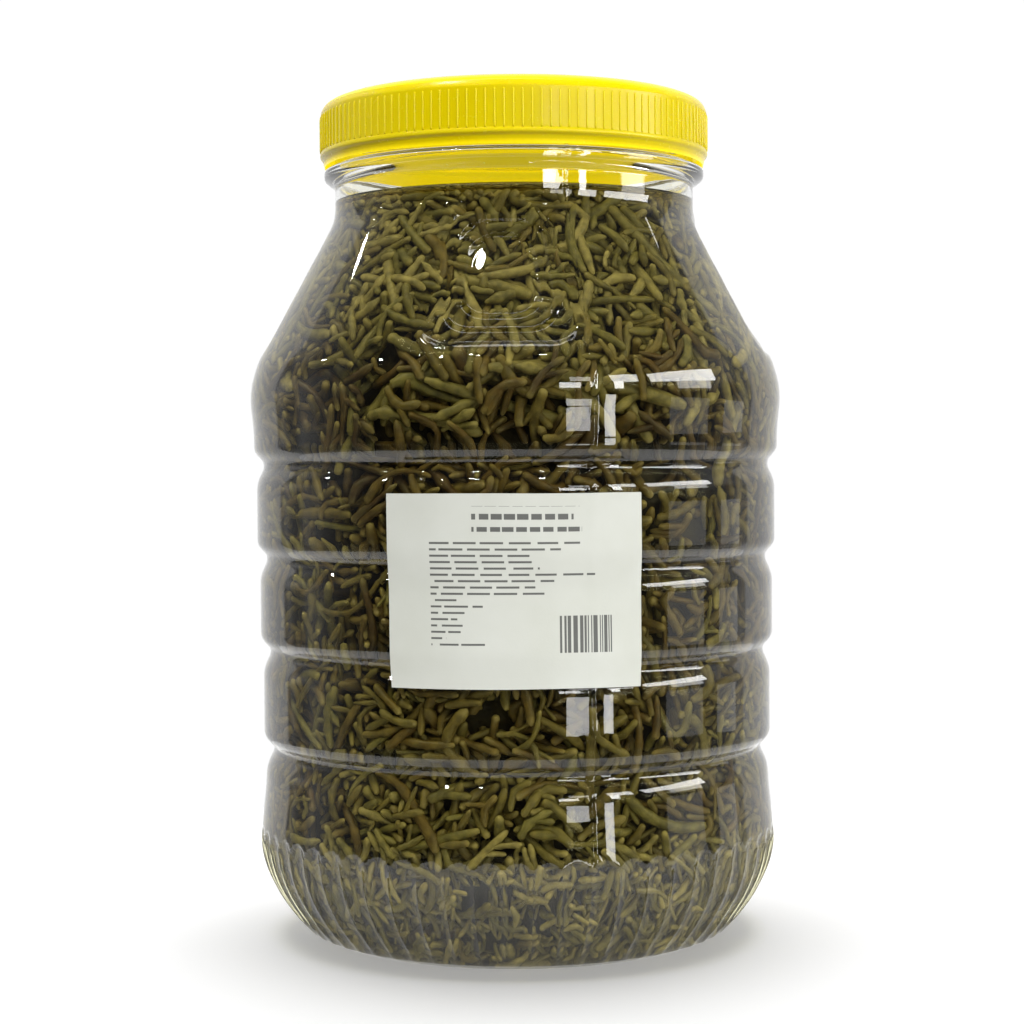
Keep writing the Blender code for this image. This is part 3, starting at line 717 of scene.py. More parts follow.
cap_line = cap_outline()
cap_rings = []
for index, (radius, height) in enumerate(cap_line):
    if index in (0, len(cap_line) - 1):
        cap_rings.append((0.0, 0.0, height))
        continue
    below = cap_line[index - 1]
    if abs(radius - CAP_BORE) < 0.01 and abs(below[0] - CAP_BORE) < 0.01 and below[1] - height > 1.0:
        for level in np.arange(below[1] - 0.55, height, -0.55):
            cap_rings.append((even(140), cap_ridge(even(140), CAP_BORE, level), level))
    cap_rings.append((even(140), cap_ridge(even(140), radius, height), height))
cap = turned("cap_body", cap_rings, YELLOW)
# the flat top is seen at a low angle from behind, where a glossy sheen of the windows would burn out
YELLOW_TOP = YELLOW.copy()
YELLOW_TOP.name = "yellow_top"
YELLOW_TOP.node_tree.nodes["Principled BSDF"].inputs["Specular IOR Level"].default_value = 0.06
across, height, outwards, upwards = faces_of(cap.data)
second_finish(cap, YELLOW_TOP, (height > CAP_TOP - 0.8) & (across < CAP - CAP_EDGE) & (upwards > -0.5))
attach(cap, "cap")
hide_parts("cap")

# %% helpers for Geometry Nodes
def node_tree(name, inputs):
    """A tree that takes geometry and named inputs. An input is (name, socket type, value)."""
    tree = bpy.data.node_groups.new(name, "GeometryNodeTree")
    tree.interface.new_socket(name="Geometry", in_out="INPUT", socket_type="NodeSocketGeometry")
    for title, kind, value in inputs:
        socket = tree.interface.new_socket(name=title, in_out="INPUT", socket_type=kind)
        if value is not None:
            socket.default_value = value
    tree.interface.new_socket(name="Geometry", in_out="OUTPUT", socket_type="NodeSocketGeometry")
    return tree, tree.nodes.new("NodeGroupInput"), tree.nodes.new("NodeGroupOutput")


def grow(name, source, tree, values, look):
    """Runs a tree on a mesh and keeps the result as a plain mesh with no modifier."""
    holder = bpy.data.objects.new(name + "_source", source)
    bpy.context.scene.collection.objects.link(holder)
    modifier = holder.modifiers.new("shape", "NODES")
    modifier.node_group = tree
    for item in tree.interface.items_tree:
        if item.item_type == "SOCKET" and item.in_out == "INPUT" and item.name in values:
            modifier[item.identifier] = values[item.name]
    graph = bpy.context.evaluated_depsgraph_get()
    mesh = bpy.data.meshes.new_from_object(holder.evaluated_get(graph), depsgraph=graph)
    bpy.data.objects.remove(holder)
    mesh.materials.clear()
    mesh.materials.append(look)
    made = bpy.data.objects.new(name, mesh)
    bpy.context.scene.collection.objects.link(made)
    mesh.calc_loop_triangles()
    print(name, len(mesh.loop_triangles), "triangles")
    return made


def finish_tree(tree, geometry, look, leave):
    """Every tree ends by making its instances real and giving them their finish."""
    real = tree.nodes.new("GeometryNodeRealizeInstances")
    paint = tree.nodes.new("GeometryNodeSetMaterial")
    paint.inputs["Material"].default_value = look
    link(tree, geometry, real.inputs["Geometry"])
    link(tree, real.outputs["Geometry"], paint.inputs["Geometry"])
    link(tree, paint.outputs["Geometry"], leave.inputs["Geometry"])


# %% one rib, and the tree that sets it round the cap
def rib_mesh():
    """A thin upright bar with a rounded front, sunk into the skirt, standing at the origin."""
    half = (RIB_HIGH - RIB_LOW) / 2.0
    levels = [(-half, 0.25), (-half + 0.5, 0.85), (-half + 1.1, 1.0), (half - 1.1, 1.0), (half - 0.5, 0.8),
              (half, 0.2)]
    section = [(-0.40, -0.35), (-0.32, 0.05), (-0.14, 0.38), (0.14, 0.38), (0.32, 0.05), (0.40, -0.35)]
    points = [((out * full if out > 0 else out), across, level)
              for level, full in levels for across, out in section]
    faces = []
    sides = len(section)
    for start in range(0, (len(levels) - 1) * sides, sides):
        for corner in range(sides):
            after = (corner + 1) % sides
            faces.append((start + corner, start + after, start + sides + after, start + sides + corner))
    faces += [tuple(range(sides)), tuple(range(len(points) - sides, len(points)))]
    mesh = bpy.data.meshes.new("rib")
    mesh.from_pydata((np.array(points) * MM).tolist(), [], faces)
    bm = bmesh.new()
    bm.from_mesh(mesh)
    bmesh.ops.recalc_face_normals(bm, faces=bm.faces)
    bm.to_mesh(mesh)
    bm.free()
    mesh.shade_smooth()
    return mesh


def rib_tree():
    tree, entry, leave = node_tree("ribs round a skirt", [
        ("Ribs", "NodeSocketInt", RIBS), ("Radius", "NodeSocketFloat", 0.066),
        ("Height", "NodeSocketFloat", 0.27)])
    nodes = tree.nodes
    circle = nodes.new("GeometryNodeMeshCircle")
    link(tree, entry.outputs["Ribs"], circle.inputs["Vertices"])
    link(tree, entry.outputs["Radius"], circle.inputs["Radius"])
    lift = nodes.new("GeometryNodeSetPosition")
    offset = nodes.new("ShaderNodeCombineXYZ")
    link(tree, entry.outputs["Height"], offset.inputs["Z"])
    link(tree, circle.outputs["Mesh"], lift.inputs["Geometry"])
    link(tree, offset.outputs["Vector"], lift.inputs["Offset"])
    position = nodes.new("GeometryNodeInputPosition")
    level = nodes.new("ShaderNodeVectorMath")
    level.operation = "MULTIPLY"
    level.inputs[1].default_value = (1.0, 1.0, 0.0)
    link(tree, position.outputs["Position"], level.inputs[0])
    face_out = nodes.new("FunctionNodeAlignRotationToVector")
    face_out.axis = "X"
    face_out.pivot_axis = "Z"
    link(tree, level.outputs["Vector"], face_out.inputs["Vector"])
    copies = nodes.new("GeometryNodeInstanceOnPoints")
    link(tree, lift.outputs["Geometry"], copies.inputs["Points"])
    link(tree, entry.outputs["Geometry"], copies.inputs["Instance"])
    link(tree, face_out.outputs["Rotation"], copies.inputs["Rotation"])
    finish_tree(tree, copies.outputs["Instances"], YELLOW, leave)
    return tree


ribs = grow("cap_ribs", rib_mesh(), rib_tree(),
            {"Ribs": RIBS, "Radius": (CAP - 0.1) * MM, "Height": (RIB_LOW + RIB_HIGH) / 2.0 * MM}, YELLOW)
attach(ribs, "cap")

# %% [markdown]
# ## The liner
# A foam disc between the cap and the rim, which makes the jar tight. Its yellow colour and its own glow are
# painted light, for the yellow light that comes through the cap.

# %% the liner
LINER, tree, shader, mottling = new_finish("liner_foam", 0.6)
mottling.inputs["Fine Scale"].default_value = 1500.0
link(tree, ramp(tree, mottling.outputs["Fine"], [(0.3, (0.66, 0.54, 0.06)), (0.7, (0.74, 0.62, 0.09))]),
     shader.inputs["Base Color"])
# painted glow: the liner gives off a yellow light of its own
shader.inputs["Emission Color"].default_value = (0.44, 0.345, 0.004, 1.0)
shader.inputs["Emission Strength"].default_value = 1.0
add_bump(tree, shader, mottling.outputs["Fine"], 0.08, 0.5)
LINER_RADIUS, LINER_LOW, LINER_HIGH = 61.0, RIM + 0.32, RIM + 1.28
liner_line = rounded([(0.0, LINER_LOW), (LINER_RADIUS, LINER_LOW, 0.3),
                      (LINER_RADIUS, LINER_HIGH, 0.3), (0.0, LINER_HIGH)], bend=4)
liner_rings = [(even(96) if radius > 0.01 else 0.0, radius, height) for radius, height in liner_line
               if radius > LINER_RADIUS - 1.0 or radius < 0.01]
liner = turned("cap_liner", liner_rings, LINER)
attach(liner, "seal")
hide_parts("seal")

# %% [markdown]
# ## The label
# A white paper sticker, 80 by 60 mm, wrapped round the front. It follows the bands and runs
# straight across the two grooves that it covers. Its print is generic here: ruled lines of uneven
# length for the words and a block of upright bars. The rules are drawn by the finish from the
# label's own UV map, so that they follow the paper.

# %% label paper
def between(tree, value, low, high):
    return math_node(tree, "MULTIPLY", math_node(tree, "GREATER_THAN", value, low),
                     math_node(tree, "LESS_THAN", value, high))


def chance(tree, cell, seed):
    noise = tree.nodes.new("ShaderNodeTexWhiteNoise")
    noise.noise_dimensions = "1D"
    link(tree, math_node(tree, "ADD", cell, seed), noise.inputs["W"])
    return noise.outputs["Value"]


def build_print():
    """Ink from 0 to 1, from a place on the label, both ways from 0 to 1 and up."""
    tree, entry, leave = shader_group("ruled print", (("Across", 0.0), ("Up", 0.0)), ("Ink",))
    across, up = entry.outputs["Across"], entry.outputs["Up"]
    inks = []
    # a block: rows per label height, inked share of a row, lowest, highest, left, shortest, longest, seed
    blocks = ((15.0, 0.44, 0.805, 0.935, 0.34, 0.36, 0.42, 3.0),
              (31.0, 0.34, 0.47, 0.77, 0.175, 0.30, 0.72, 7.0),
              (31.0, 0.32, 0.21, 0.47, 0.175, 0.06, 0.24, 12.0))
    for rows, thick, low, high, left, shortest, longest, seed in blocks:
        rising = math_node(tree, "MULTIPLY", up, rows)
        row = math_node(tree, "FLOOR", rising)
        line = math_node(tree, "LESS_THAN", math_node(tree, "FRACT", rising), thick)
        length = math_node(tree, "MULTIPLY_ADD", chance(tree, row, seed), longest - shortest, shortest + left)
        started = math_node(tree, "GREATER_THAN", across, left)
        ended = math_node(tree, "LESS_THAN", across, length)
        inside = math_node(tree, "MULTIPLY", started, ended)
        inside = math_node(tree, "MULTIPLY", inside, between(tree, up, low, high))
        shift = math_node(tree, "MULTIPLY", chance(tree, row, 90.0), 9.0)
        words = math_node(tree, "MULTIPLY_ADD", across, 300.0 / rows, shift)
        word = math_node(tree, "FLOOR", words)
        gap = math_node(tree, "MULTIPLY_ADD", chance(tree, word, 17.0), 0.22, 0.10)
        apart = math_node(tree, "GREATER_THAN", math_node(tree, "FRACT", words), gap)
        inks.append(math_node(tree, "MULTIPLY", math_node(tree, "MULTIPLY", line, apart), inside))
    bar = math_node(tree, "FLOOR", math_node(tree, "MULTIPLY", across, 230.0))
    bars = math_node(tree, "GREATER_THAN", chance(tree, bar, 41.0), 0.46)
    bars = math_node(tree, "MULTIPLY", bars, between(tree, across, 0.665, 0.875))
    inks.append(math_node(tree, "MULTIPLY", bars, between(tree, up, 0.185, 0.375)))
    total = inks[0]
    for ink in inks[1:]:
        total = math_node(tree, "MAXIMUM", total, ink)
    link(tree, total, leave.inputs["Ink"])
    return tree


PAPER, tree, shader, mottling = new_finish("label_paper", 0.55, IOR=1.4)
mottling.inputs["Broad Scale"].default_value = 38.0
mottling.inputs["Fine Scale"].default_value = 1400.0
paper_colour = ramp(tree, mottling.outputs["Broad"],
                    [(0.34, (0.490, 0.500, 0.446)), (0.62, (0.528, 0.538, 0.490))])
label_place = tree.nodes.new("ShaderNodeUVMap")
label_place.uv_map = "OFBake"
split = tree.nodes.new("ShaderNodeSeparateXYZ")
link(tree, label_place.outputs["UV"], split.inputs["Vector"])
printed = tree.nodes.new("ShaderNodeGroup")
printed.node_tree = build_print()
link(tree, split.outputs["X"], printed.inputs["Across"])
link(tree, math_node(tree, "MULTIPLY", split.outputs["Y"], 2.0), printed.inputs["Up"])
ink = math_node(tree, "MULTIPLY", printed.outputs["Ink"], 0.82)
link(tree, blend(tree, ink, paper_colour, (0.02, 0.02, 0.022, 1.0)), shader.inputs["Base Color"])
link(tree, ramp(tree, mottling.outputs["Fine"], [(0.3, 0.48), (0.7, 0.62)]), shader.inputs["Roughness"])
add_bump(tree, shader, mottling.outputs["Fine"], 0.04, 0.5)

# %% the label
LABEL_WIDE, LABEL_LOW, LABEL_HIGH, LABEL_TURN, LABEL_THICK = 80.0, 91.0, 151.0, -0.3, 0.22
LABEL_ACROSS, LABEL_UP = 56, 40


def label_radius(height):
    lower, upper = GROOVES[1], GROOVES[2]
    heights = [LABEL_LOW, lower + GROOVE_ABOVE, upper - GROOVE_BELOW, upper + GROOVE_ABOVE, LABEL_HIGH]
    radii = [band_radius(1), band_radius(2), band_radius(2), band_radius(3), band_radius(3)]
    return np.interp(height, heights, radii) + 0.32


def make_label():
    half_turn = math.degrees(LABEL_WIDE / 2.0 / band_radius(2))
    across, up = np.meshgrid(np.linspace(0, 1, LABEL_ACROSS + 1), np.linspace(0, 1, LABEL_UP + 1),
                             indexing="ij")
    lean = 0.006
    x = (across - 0.5) + lean * (0.5 - up)
    height = LABEL_LOW + (LABEL_HIGH - LABEL_LOW) * up + 0.25 * np.sin(across * 7.0) * (up - 0.5)
    height = np.clip(height, LABEL_LOW, LABEL_HIGH)
    azimuth = LABEL_TURN + 2.0 * half_turn * x
    smooth = sum(label_radius(height + step) for step in (-1.6, -0.8, 0.0, 0.8, 1.6)) / 5.0
    crease = 0.16 * np.exp(-((azimuth - PARTING) / 0.9) ** 2)
    crease = crease + 0.10 * np.exp(-(((across - 0.2) * 60) / 3.0) ** 2) * up
    ripple = 0.05 * np.sin(across * 23.0 + 3.0 * up) * np.sin(up * 9.0)
    back = np.maximum(smooth, label_radius(height)) + crease + np.maximum(ripple, -0.04)
    points = np.concatenate([place(azimuth, back + LABEL_THICK, height).reshape(-1, 3),
                             place(azimuth, back, height).reshape(-1, 3)])
    columns, rows = LABEL_ACROSS + 1, LABEL_UP + 1
    behind = columns * rows
    faces, spots = [], []
    for i in range(LABEL_ACROSS):
        for j in range(LABEL_UP):
            a, b, c, d = i * rows + j, (i + 1) * rows + j, (i + 1) * rows + j + 1, i * rows + j + 1
            faces.append((a, b, c, d))
            faces.append((behind + d, behind + c, behind + b, behind + a))
            corners = [(i, j), (i + 1, j), (i + 1, j + 1), (i, j + 1)]
            spots.append([(p / LABEL_ACROSS, q / LABEL_UP * 0.5) for p, q in corners])
            spots.append([(p / LABEL_ACROSS, 0.52 + q / LABEL_UP * 0.46) for p, q in corners[::-1]])
    edge = [i * rows for i in range(columns)] + [LABEL_ACROSS * rows + j for j in range(1, rows)]
    edge += [i * rows + LABEL_UP for i in range(LABEL_ACROSS - 1, -1, -1)] + list(range(LABEL_UP - 1, 0, -1))
    for a, b in zip(edge, edge[1:] + edge[:1]):
        faces.append((a, behind + a, behind + b, b))
        spots.append([(0.99, 0.505)] * 4)
    mesh = bpy.data.meshes.new("label_sheet")
    mesh.from_pydata(points.tolist(), [], faces)
    layer = mesh.uv_layers.new(name="OFBake")
    flat = np.array([spot for face in spots for spot in face], np.float32)
    layer.data.foreach_set("uv", flat.ravel())
    return finished("label_sheet", mesh, PAPER, 60.0)


label = make_label()
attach(label, "jar")
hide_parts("label")

# %% [markdown]
# ## The brine
# Salt water fills the jar to just under the neck's collar. Its surface lies inside the plastic by a
# third of a millimetre. Light then passes from plastic straight into liquid, as in the real jar,
# with no film of air between them to mirror. The tint is set on the shader itself.

# %% brine
BRINE, tree, shader, mottling = new_finish("brine", 0.0, Transmission_Weight=1.0, IOR=1.34)
shader.inputs["Base Color"].default_value = (0.80, 0.77, 0.52, 1.0)
mottling.inputs["Broad Scale"].default_value = 25.0
mottling.inputs["Fine Scale"].default_value = 120.0
link(tree, ramp(tree, mottling.outputs["Broad"], [(0.4, 0.0), (0.8, 0.02)]), shader.inputs["Roughness"])
let_lamps_through(tree, shader, (0.86, 0.83, 0.62))

BRINE_AT_THE_WALL = BRINE.copy()
BRINE_AT_THE_WALL.name = "brine_at_the_wall"
BRINE_AT_THE_WALL.node_tree.nodes["Principled BSDF"].inputs["IOR"].default_value = 1.001


def brine_rings():
    rings = inner_rings(IN_THE_WALL, LEVEL)
    wall = float(inner_radius(0.0, LEVEL)) + IN_THE_WALL
    for inward, rise in ((0.0, 1.3), (0.5, 0.75), (1.3, 0.3), (2.6, 0.06), (5.0, 0.0), (30.0, 0.0)):
        rings.append((even(120), wall - inward, LEVEL + rise))
    rings.append((0.0, 0.0, LEVEL))
    return rings


brine = turned("brine_body", brine_rings(), BRINE)
across, height, outwards, upwards = faces_of(brine.data)
second_finish(brine, BRINE_AT_THE_WALL, (height < LEVEL - 0.5) | (upwards < 0.2))
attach(brine, "jar")
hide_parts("brine")

# %% [markdown]
# ## Packing the samphire
# The jar holds thousands of short fleshy pieces, pressed against the wall at all angles. Placing them
# at random would let them pass through one another, so each piece starts as a row of balls, half
# of them with a side shoot, and a small simulation pushes the balls apart. After each push every piece is
# set back to its own shape, turned and moved to where its balls went. The wall and the pile's
# dark middle keep them in a layer about twelve millimetres deep, which is as far as the eye gets
# in. The seed is fixed, so the pile is the same each time.

# %% the pieces before packing
DEEP, TOP_OF_PILE, SEED, BALL_STEP = 11.5, 247.0, 5, 2.9
PIECES, SPRIGS, CHUNKS = 5300, 170, 40
BASE_TOP, THICKER_UP_TO, THINNER_ABOVE = 42.0, 58.0, 0.56
UP_TO_THE_WALLS, UP_TO_THE_TOPS, WIDEST_PILE = 0.86, 0.93, 92.0
FORKED, DEEP_AT_THE_TOP, DEEP_AT_THE_FLOOR = 0.52, 8.5, 7.0
rng = np.random.default_rng(SEED)


def pile_floor(across):
    """The jar's floor inside, in millimetres, at a distance from the axis."""
    rise = PUSH_UP * (1.0 - np.minimum(across / FOOT_INNER, 1.0) ** 2)
    return rise + WALL + 0.3


def a_place_on_the_pile():
    """A point and the directions across, up and out of the pile's surface there."""
    kind = rng.random()
    azimuth = rng.uniform(0.0, 360.0)
    turn = math.radians(azimuth)
    out = np.array([math.sin(turn), -math.cos(turn), 0.0])
    around = np.array([math.cos(turn), math.sin(turn), 0.0])
    if kind < UP_TO_THE_WALLS:
        while True:
            height = rng.uniform(4.0, TOP_OF_PILE - 1.0)
            radius = float(inner_radius(azimuth, height))
            if rng.random() < radius / WIDEST_PILE * (1.0 if height < THICKER_UP_TO else THINNER_ABOVE):
                break
        above, below = inner_radius(azimuth, height + 2.0), inner_radius(azimuth, height - 2.0)
        slope = (float(above) - float(below)) / 4.0
        up = np.array([out[0] * slope, out[1] * slope, 1.0])
        up /= np.linalg.norm(up)
        depth = rng.uniform(1.6, DEEP - 1.5)
        return out * (radius - depth) + np.array([0.0, 0.0, height]), around, up, height
    across = 60.0 * math.sqrt(rng.random())
    if kind < UP_TO_THE_TOPS:
        centre = out * across * 0.95 + np.array([0.0, 0.0, TOP_OF_PILE - rng.uniform(1.6, 8.0)])
        return centre, around, out, TOP_OF_PILE
    centre = out * across + np.array([0.0, 0.0, float(pile_floor(across)) + rng.uniform(1.6, 7.0)])
    return centre, around, out, 0.0


def bent_row(length, bend):
    """Balls along a gently bent line that is centred on the origin and runs along X."""
    count = max(3, int(round(length / BALL_STEP)) + 1)
    x = np.linspace(-length / 2.0, length / 2.0, count)
    row = np.stack([x, bend * length * ((2.0 * x / length) ** 2 - 0.4), 0.0 * x], axis=1)
    if rng.random() < 0.55:
        knee, angle = int(rng.integers(1, count - 1)), rng.normal(0.0, 0.65)
        cosine, sine = math.cos(angle), math.sin(angle)
        turn = np.array([[cosine, -sine, 0.0], [sine, cosine, 0.0], [0.0, 0.0, 1.0]])
        row[knee:] = row[knee] + (row[knee:] - row[knee]) @ turn.T
    return row


def shoot_from(row, index, length, angle, side):
    """A side shoot's balls, from a ball of the main row."""
    count = max(2, int(round(length / BALL_STEP)))
    along = row[min(index + 1, len(row) - 1)] - row[index - 1]
    along /= np.linalg.norm(along)
    across = np.array([-along[1], along[0], 0.25 * rng.normal()])
    aim = along * math.cos(angle) + side * across * math.sin(angle)
    return row[index] + aim[None, :] * (np.arange(1, count + 1) * BALL_STEP)[:, None]


def a_piece(kind, height):
    """(balls, lines as lists of ball numbers, radius) of one piece at the origin."""
    if kind == "chunk":
        return bent_row(rng.uniform(11.0, 20.0), rng.normal(0.0, 0.05)), None, rng.uniform(2.3, 3.0)
    if kind == "sprig":
        row = bent_row(rng.uniform(30.0, 56.0), rng.normal(0.0, 0.10))
        radius = rng.uniform(1.75, 2.3)
    else:
        low_down = height < BASE_TOP
        length = rng.gamma(4.0, 2.3) if low_down else rng.gamma(4.5, 3.0)
        row = bent_row(float(np.clip(length, 5.5, 15.0 if low_down else 30.0)), rng.normal(0.0, 0.16))
        radius = float(np.clip(rng.normal(1.22 if low_down else 1.42, 0.24), 0.85, 2.1))
    balls, lines = [row], [list(range(len(row)))]
    shoots = 0
    if kind == "sprig":
        shoots = int(rng.integers(2, 5))
    elif len(row) > 3 and rng.random() < FORKED:
        shoots = 1 if len(row) < 6 or rng.random() < 0.6 else 2
    total = len(row)
    for _ in range(shoots):
        index = int(rng.integers(1, len(row) - 1))
        longest = 17.0 if kind == "sprig" else 9.0
        length, angle = rng.uniform(5.0, longest), rng.uniform(0.6, 1.0)
        new = shoot_from(row, index, length, angle, rng.choice((-1.0, 1.0)))
        balls.append(new)
        lines.append([index] + list(range(total, total + len(new))))
        total += len(new)
    return np.concatenate(balls), lines, radius


def make_pieces():
    shapes = []
    for number in range(PIECES + SPRIGS + CHUNKS):
        kind = "piece" if number < PIECES else ("sprig" if number < PIECES + SPRIGS else "chunk")
        centre, around, up, height = a_place_on_the_pile()
        while kind == "sprig" and not 178.0 < height < 240.0:
            centre, around, up, height = a_place_on_the_pile()
        balls, lines, radius = a_piece(kind, height)
        heading = rng.uniform(0.0, 2.0 * math.pi)
        inward = np.cross(around, up)
        first = around * math.cos(heading) + up * math.sin(heading) + inward * rng.normal(0.0, 0.42)
        first /= np.linalg.norm(first)
        second = np.cross(inward, first)
        second /= np.linalg.norm(second)
        third = np.cross(first, second)
        placed = centre + balls[:, 0:1] * first + balls[:, 1:2] * second + balls[:, 2:3] * third
        shapes.append({"rest": balls, "at": placed, "lines": lines or [list(range(len(balls)))],
                       "radius": radius, "kind": kind, "height": height})
    return shapes


pieces = make_pieces()
print(len(pieces), "pieces with", sum(len(piece["rest"]) for piece in pieces), "balls")

# %% pushing the balls apart
HALF_NEIGHBOURS = [(0, 0, 0), (1, 0, 0)] + [(x, 1, 0) for x in (-1, 0, 1)]
HALF_NEIGHBOURS += [(x, y, 1) for x in (-1, 0, 1) for y in (-1, 0, 1)]


def close_pairs(points, reach):
    """Pairs of points that share a cell of a grid or lie in cells next to each other."""
    cell = np.floor((points - points.min(0)) / reach).astype(np.int64) + 1
    size = cell.max(0) + 2
    key = (cell[:, 2] * size[1] + cell[:, 1]) * size[0] + cell[:, 0]
    order = np.argsort(key, kind="stable")
    ranked = key[order]
    firsts, seconds = [], []
    for x, y, z in HALF_NEIGHBOURS:
        target = key + (z * size[1] + y) * size[0] + x
        start = np.searchsorted(ranked, target, "left")
        count = np.searchsorted(ranked, target, "right") - start
        first = np.repeat(np.arange(len(points)), count)
        within = np.arange(count.sum()) - np.repeat(np.cumsum(count) - count, count)
        second = order[np.repeat(start, count) + within]
        if (x, y, z) == (0, 0, 0):
            kept = first < second
            first, second = first[kept], second[kept]
        firsts.append(first)
        seconds.append(second)
    return np.concatenate(firsts), np.concatenate(seconds)


def keep_in_the_layer(at, radius):
    """Moves balls back between the wall and the pile's middle."""
    across = np.hypot(at[:, 0], at[:, 1]) + 1e-9
    azimuth = np.degrees(np.arctan2(at[:, 0], -at[:, 1]))
    wall = inner_radius(azimuth, at[:, 2]) - radius - 0.25
    floor = pile_floor(across) + radius
    top = TOP_OF_PILE - radius
    depths = np.stack([wall - across, top - at[:, 2], at[:, 2] - floor], axis=1)
    limits = np.array([DEEP, DEEP_AT_THE_TOP, DEEP_AT_THE_FLOOR])
    too_deep = (depths > limits - 2.0 * radius[:, None]).all(axis=1)
    nearest = np.argmin(depths - limits, axis=1)
    beyond = (depths - limits + 2.0 * radius[:, None])[np.arange(len(at)), nearest]
    push = 0.4 * np.minimum(beyond, 2.0) * too_deep
    scale = np.where(nearest == 0, push, 0.0)
    at[:, 0] += at[:, 0] / across * scale
    at[:, 1] += at[:, 1] / across * scale
    at[:, 2] += np.where(nearest == 1, push, 0.0) - np.where(nearest == 2, push, 0.0)
    across = np.hypot(at[:, 0], at[:, 1]) + 1e-9
    shrink = np.minimum(1.0, wall / across)
    at[:, :2] *= shrink[:, None]
    at[:, 2] = np.minimum(at[:, 2], top)
    at[:, 2] = np.maximum(at[:, 2], pile_floor(across * shrink) + radius)
    return at


def set_back_to_shape(at, rest, weight):
    """Each piece's balls, padded to one length, go to where its own shape fits them best."""
    total = weight.sum(1, keepdims=True)
    centre = (at * weight[..., None]).sum(1, keepdims=True) / total[..., None]
    spread = np.einsum("nk,nki,nkj->nij", weight, at - centre, rest)
    u, _, v = np.linalg.svd(spread)
    flip = np.sign(np.linalg.det(u @ v))
    u[:, :, 2] *= flip[:, None]
    return centre + np.einsum("nij,nkj->nki", u @ v, rest)


def pack(pieces, rounds):
    longest = max(len(piece["rest"]) for piece in pieces)
    count = len(pieces)
    rest, at = np.zeros((count, longest, 3)), np.zeros((count, longest, 3))
    weight = np.zeros((count, longest))
    for index, piece in enumerate(pieces):
        many = len(piece["rest"])
        rest[index, :many] = piece["rest"] - piece["rest"].mean(0)
        at[index, :many] = piece["at"]
        weight[index, :many] = 1.0
    filled = weight > 0.0
    owner = np.repeat(np.arange(count), longest).reshape(count, longest)[filled]
    radius = np.array([piece["radius"] for piece in pieces])[owner]
    for step in range(rounds):
        balls = at[filled]
        if step % 4 == 0:
            first, second = close_pairs(balls, 2.0 * radius.max() + 0.4)
            kept = owner[first] != owner[second]
            first, second = first[kept], second[kept]
            apart = np.linalg.norm(balls[first] - balls[second], axis=1)
            kept = apart < radius[first] + radius[second] + 1.5
            first, second = first[kept], second[kept]
        gap = balls[first] - balls[second]
        apart = np.linalg.norm(gap, axis=1) + 1e-9
        overlap = np.maximum(radius[first] + radius[second] - apart, 0.0)
        move = gap / apart[:, None] * (0.5 * overlap)[:, None]
        many = len(balls)
        touches = np.bincount(first, overlap > 0.0, many) + np.bincount(second, overlap > 0.0, many)
        for axis in range(3):
            shift = np.bincount(first, move[:, axis], many) - np.bincount(second, move[:, axis], many)
            balls[:, axis] += shift / np.maximum(1.0, 0.6 * touches)
        balls = keep_in_the_layer(balls, radius)
        at[filled] = balls
        shaped = set_back_to_shape(at, rest, weight)
        firm = 1.0 if step < rounds - 6 else 0.85
        at = np.where(filled[..., None], at + (shaped - at) * firm, 0.0)
    balls = keep_in_the_layer(at[filled], radius)
    at[filled] = balls
    for index, piece in enumerate(pieces):
        piece["at"] = at[index, : len(piece["rest"])].copy()
    return float(np.mean(overlap[overlap > 0.0])), int((overlap > 0.6).sum())


print("mean overlap in mm, and how many over 0.6:", pack(pieces, 60))

# %% [markdown]
# ## From balls to fleshy stems
# Each row of balls becomes a line with a thickness at every point: nothing at the very ends, full
# a little way in, and slightly fuller at each joint, as on the real plant. The lines of some
# eight hundred pieces go into one mesh of edges. A Geometry Nodes tree turns the edges into curves and
# sweeps a seven-sided section along them. It also lays each stem into a small square of its own
# on the UV map, so that its colour can be baked.

# %% lines with a thickness
def stem_line(points, radius, first_end, joint, taper):
    """Stations along a line: points and thicknesses. first_end is False where it grows from another.
    taper is how much thinner the last end is than the first."""
    ahead = points[-1] - points[-2]
    tip = points[-1] + ahead / np.linalg.norm(ahead) * radius * 0.95
    back = points[0] - points[1]
    root = points[0] + back / np.linalg.norm(back) * radius * (0.95 if first_end else 0.1)
    path = np.concatenate([[root], points, [tip]])
    run = np.concatenate([[0.0], np.cumsum(np.linalg.norm(np.diff(path, axis=0), axis=1))])
    length = run[-1]
    middle = max(3, min(11, int(length / 3.4)))
    stations = np.concatenate([[0.0, 0.25 * radius, 0.95 * radius],
                               np.linspace(1.9 * radius, length - 1.9 * radius, middle),
                               [length - 0.95 * radius, length - 0.25 * radius, length]])
    girth = np.ones(len(stations))
    phase = (stations / joint) % 1.0
    girth += 0.13 * np.cos(2.0 * np.pi * phase) + 0.10 * np.sin(stations * 1.3 + joint * 7.0)
    girth *= 1.0 + 0.35 * taper - taper * stations / length
    from_end = length - stations if not first_end else np.minimum(stations, length - stations)
    # pale: lighter near the free ends and at the joints, partly the plant's colour and partly a painted
    # highlight
    pale = np.exp(-((from_end / 2.2) ** 2)) + 0.35 * np.clip(np.cos(2.0 * np.pi * phase), 0.0, 1.0)
    girth[[0, -1]] = 0.0
    girth[[1, -2]] *= 0.52
    girth[[2, -3]] *= 0.86
    if not first_end:
        girth[0:3] = (0.0, 0.75, 0.9)
    at = np.stack([np.interp(stations, run, path[:, axis]) for axis in range(3)], axis=1)
    return at, girth * radius, stations / length, pale


def stem_lines(piece):
    joint = rng.uniform(4.6, 7.5)
    for number, line in enumerate(piece["lines"]):
        radius = piece["radius"] * (1.0 if number == 0 else rng.uniform(0.72, 0.9))
        taper = float(np.clip(rng.normal(0.22, 0.22), 0.0, 0.6))
        yield stem_line(piece["at"][line], radius, number == 0, joint, taper)


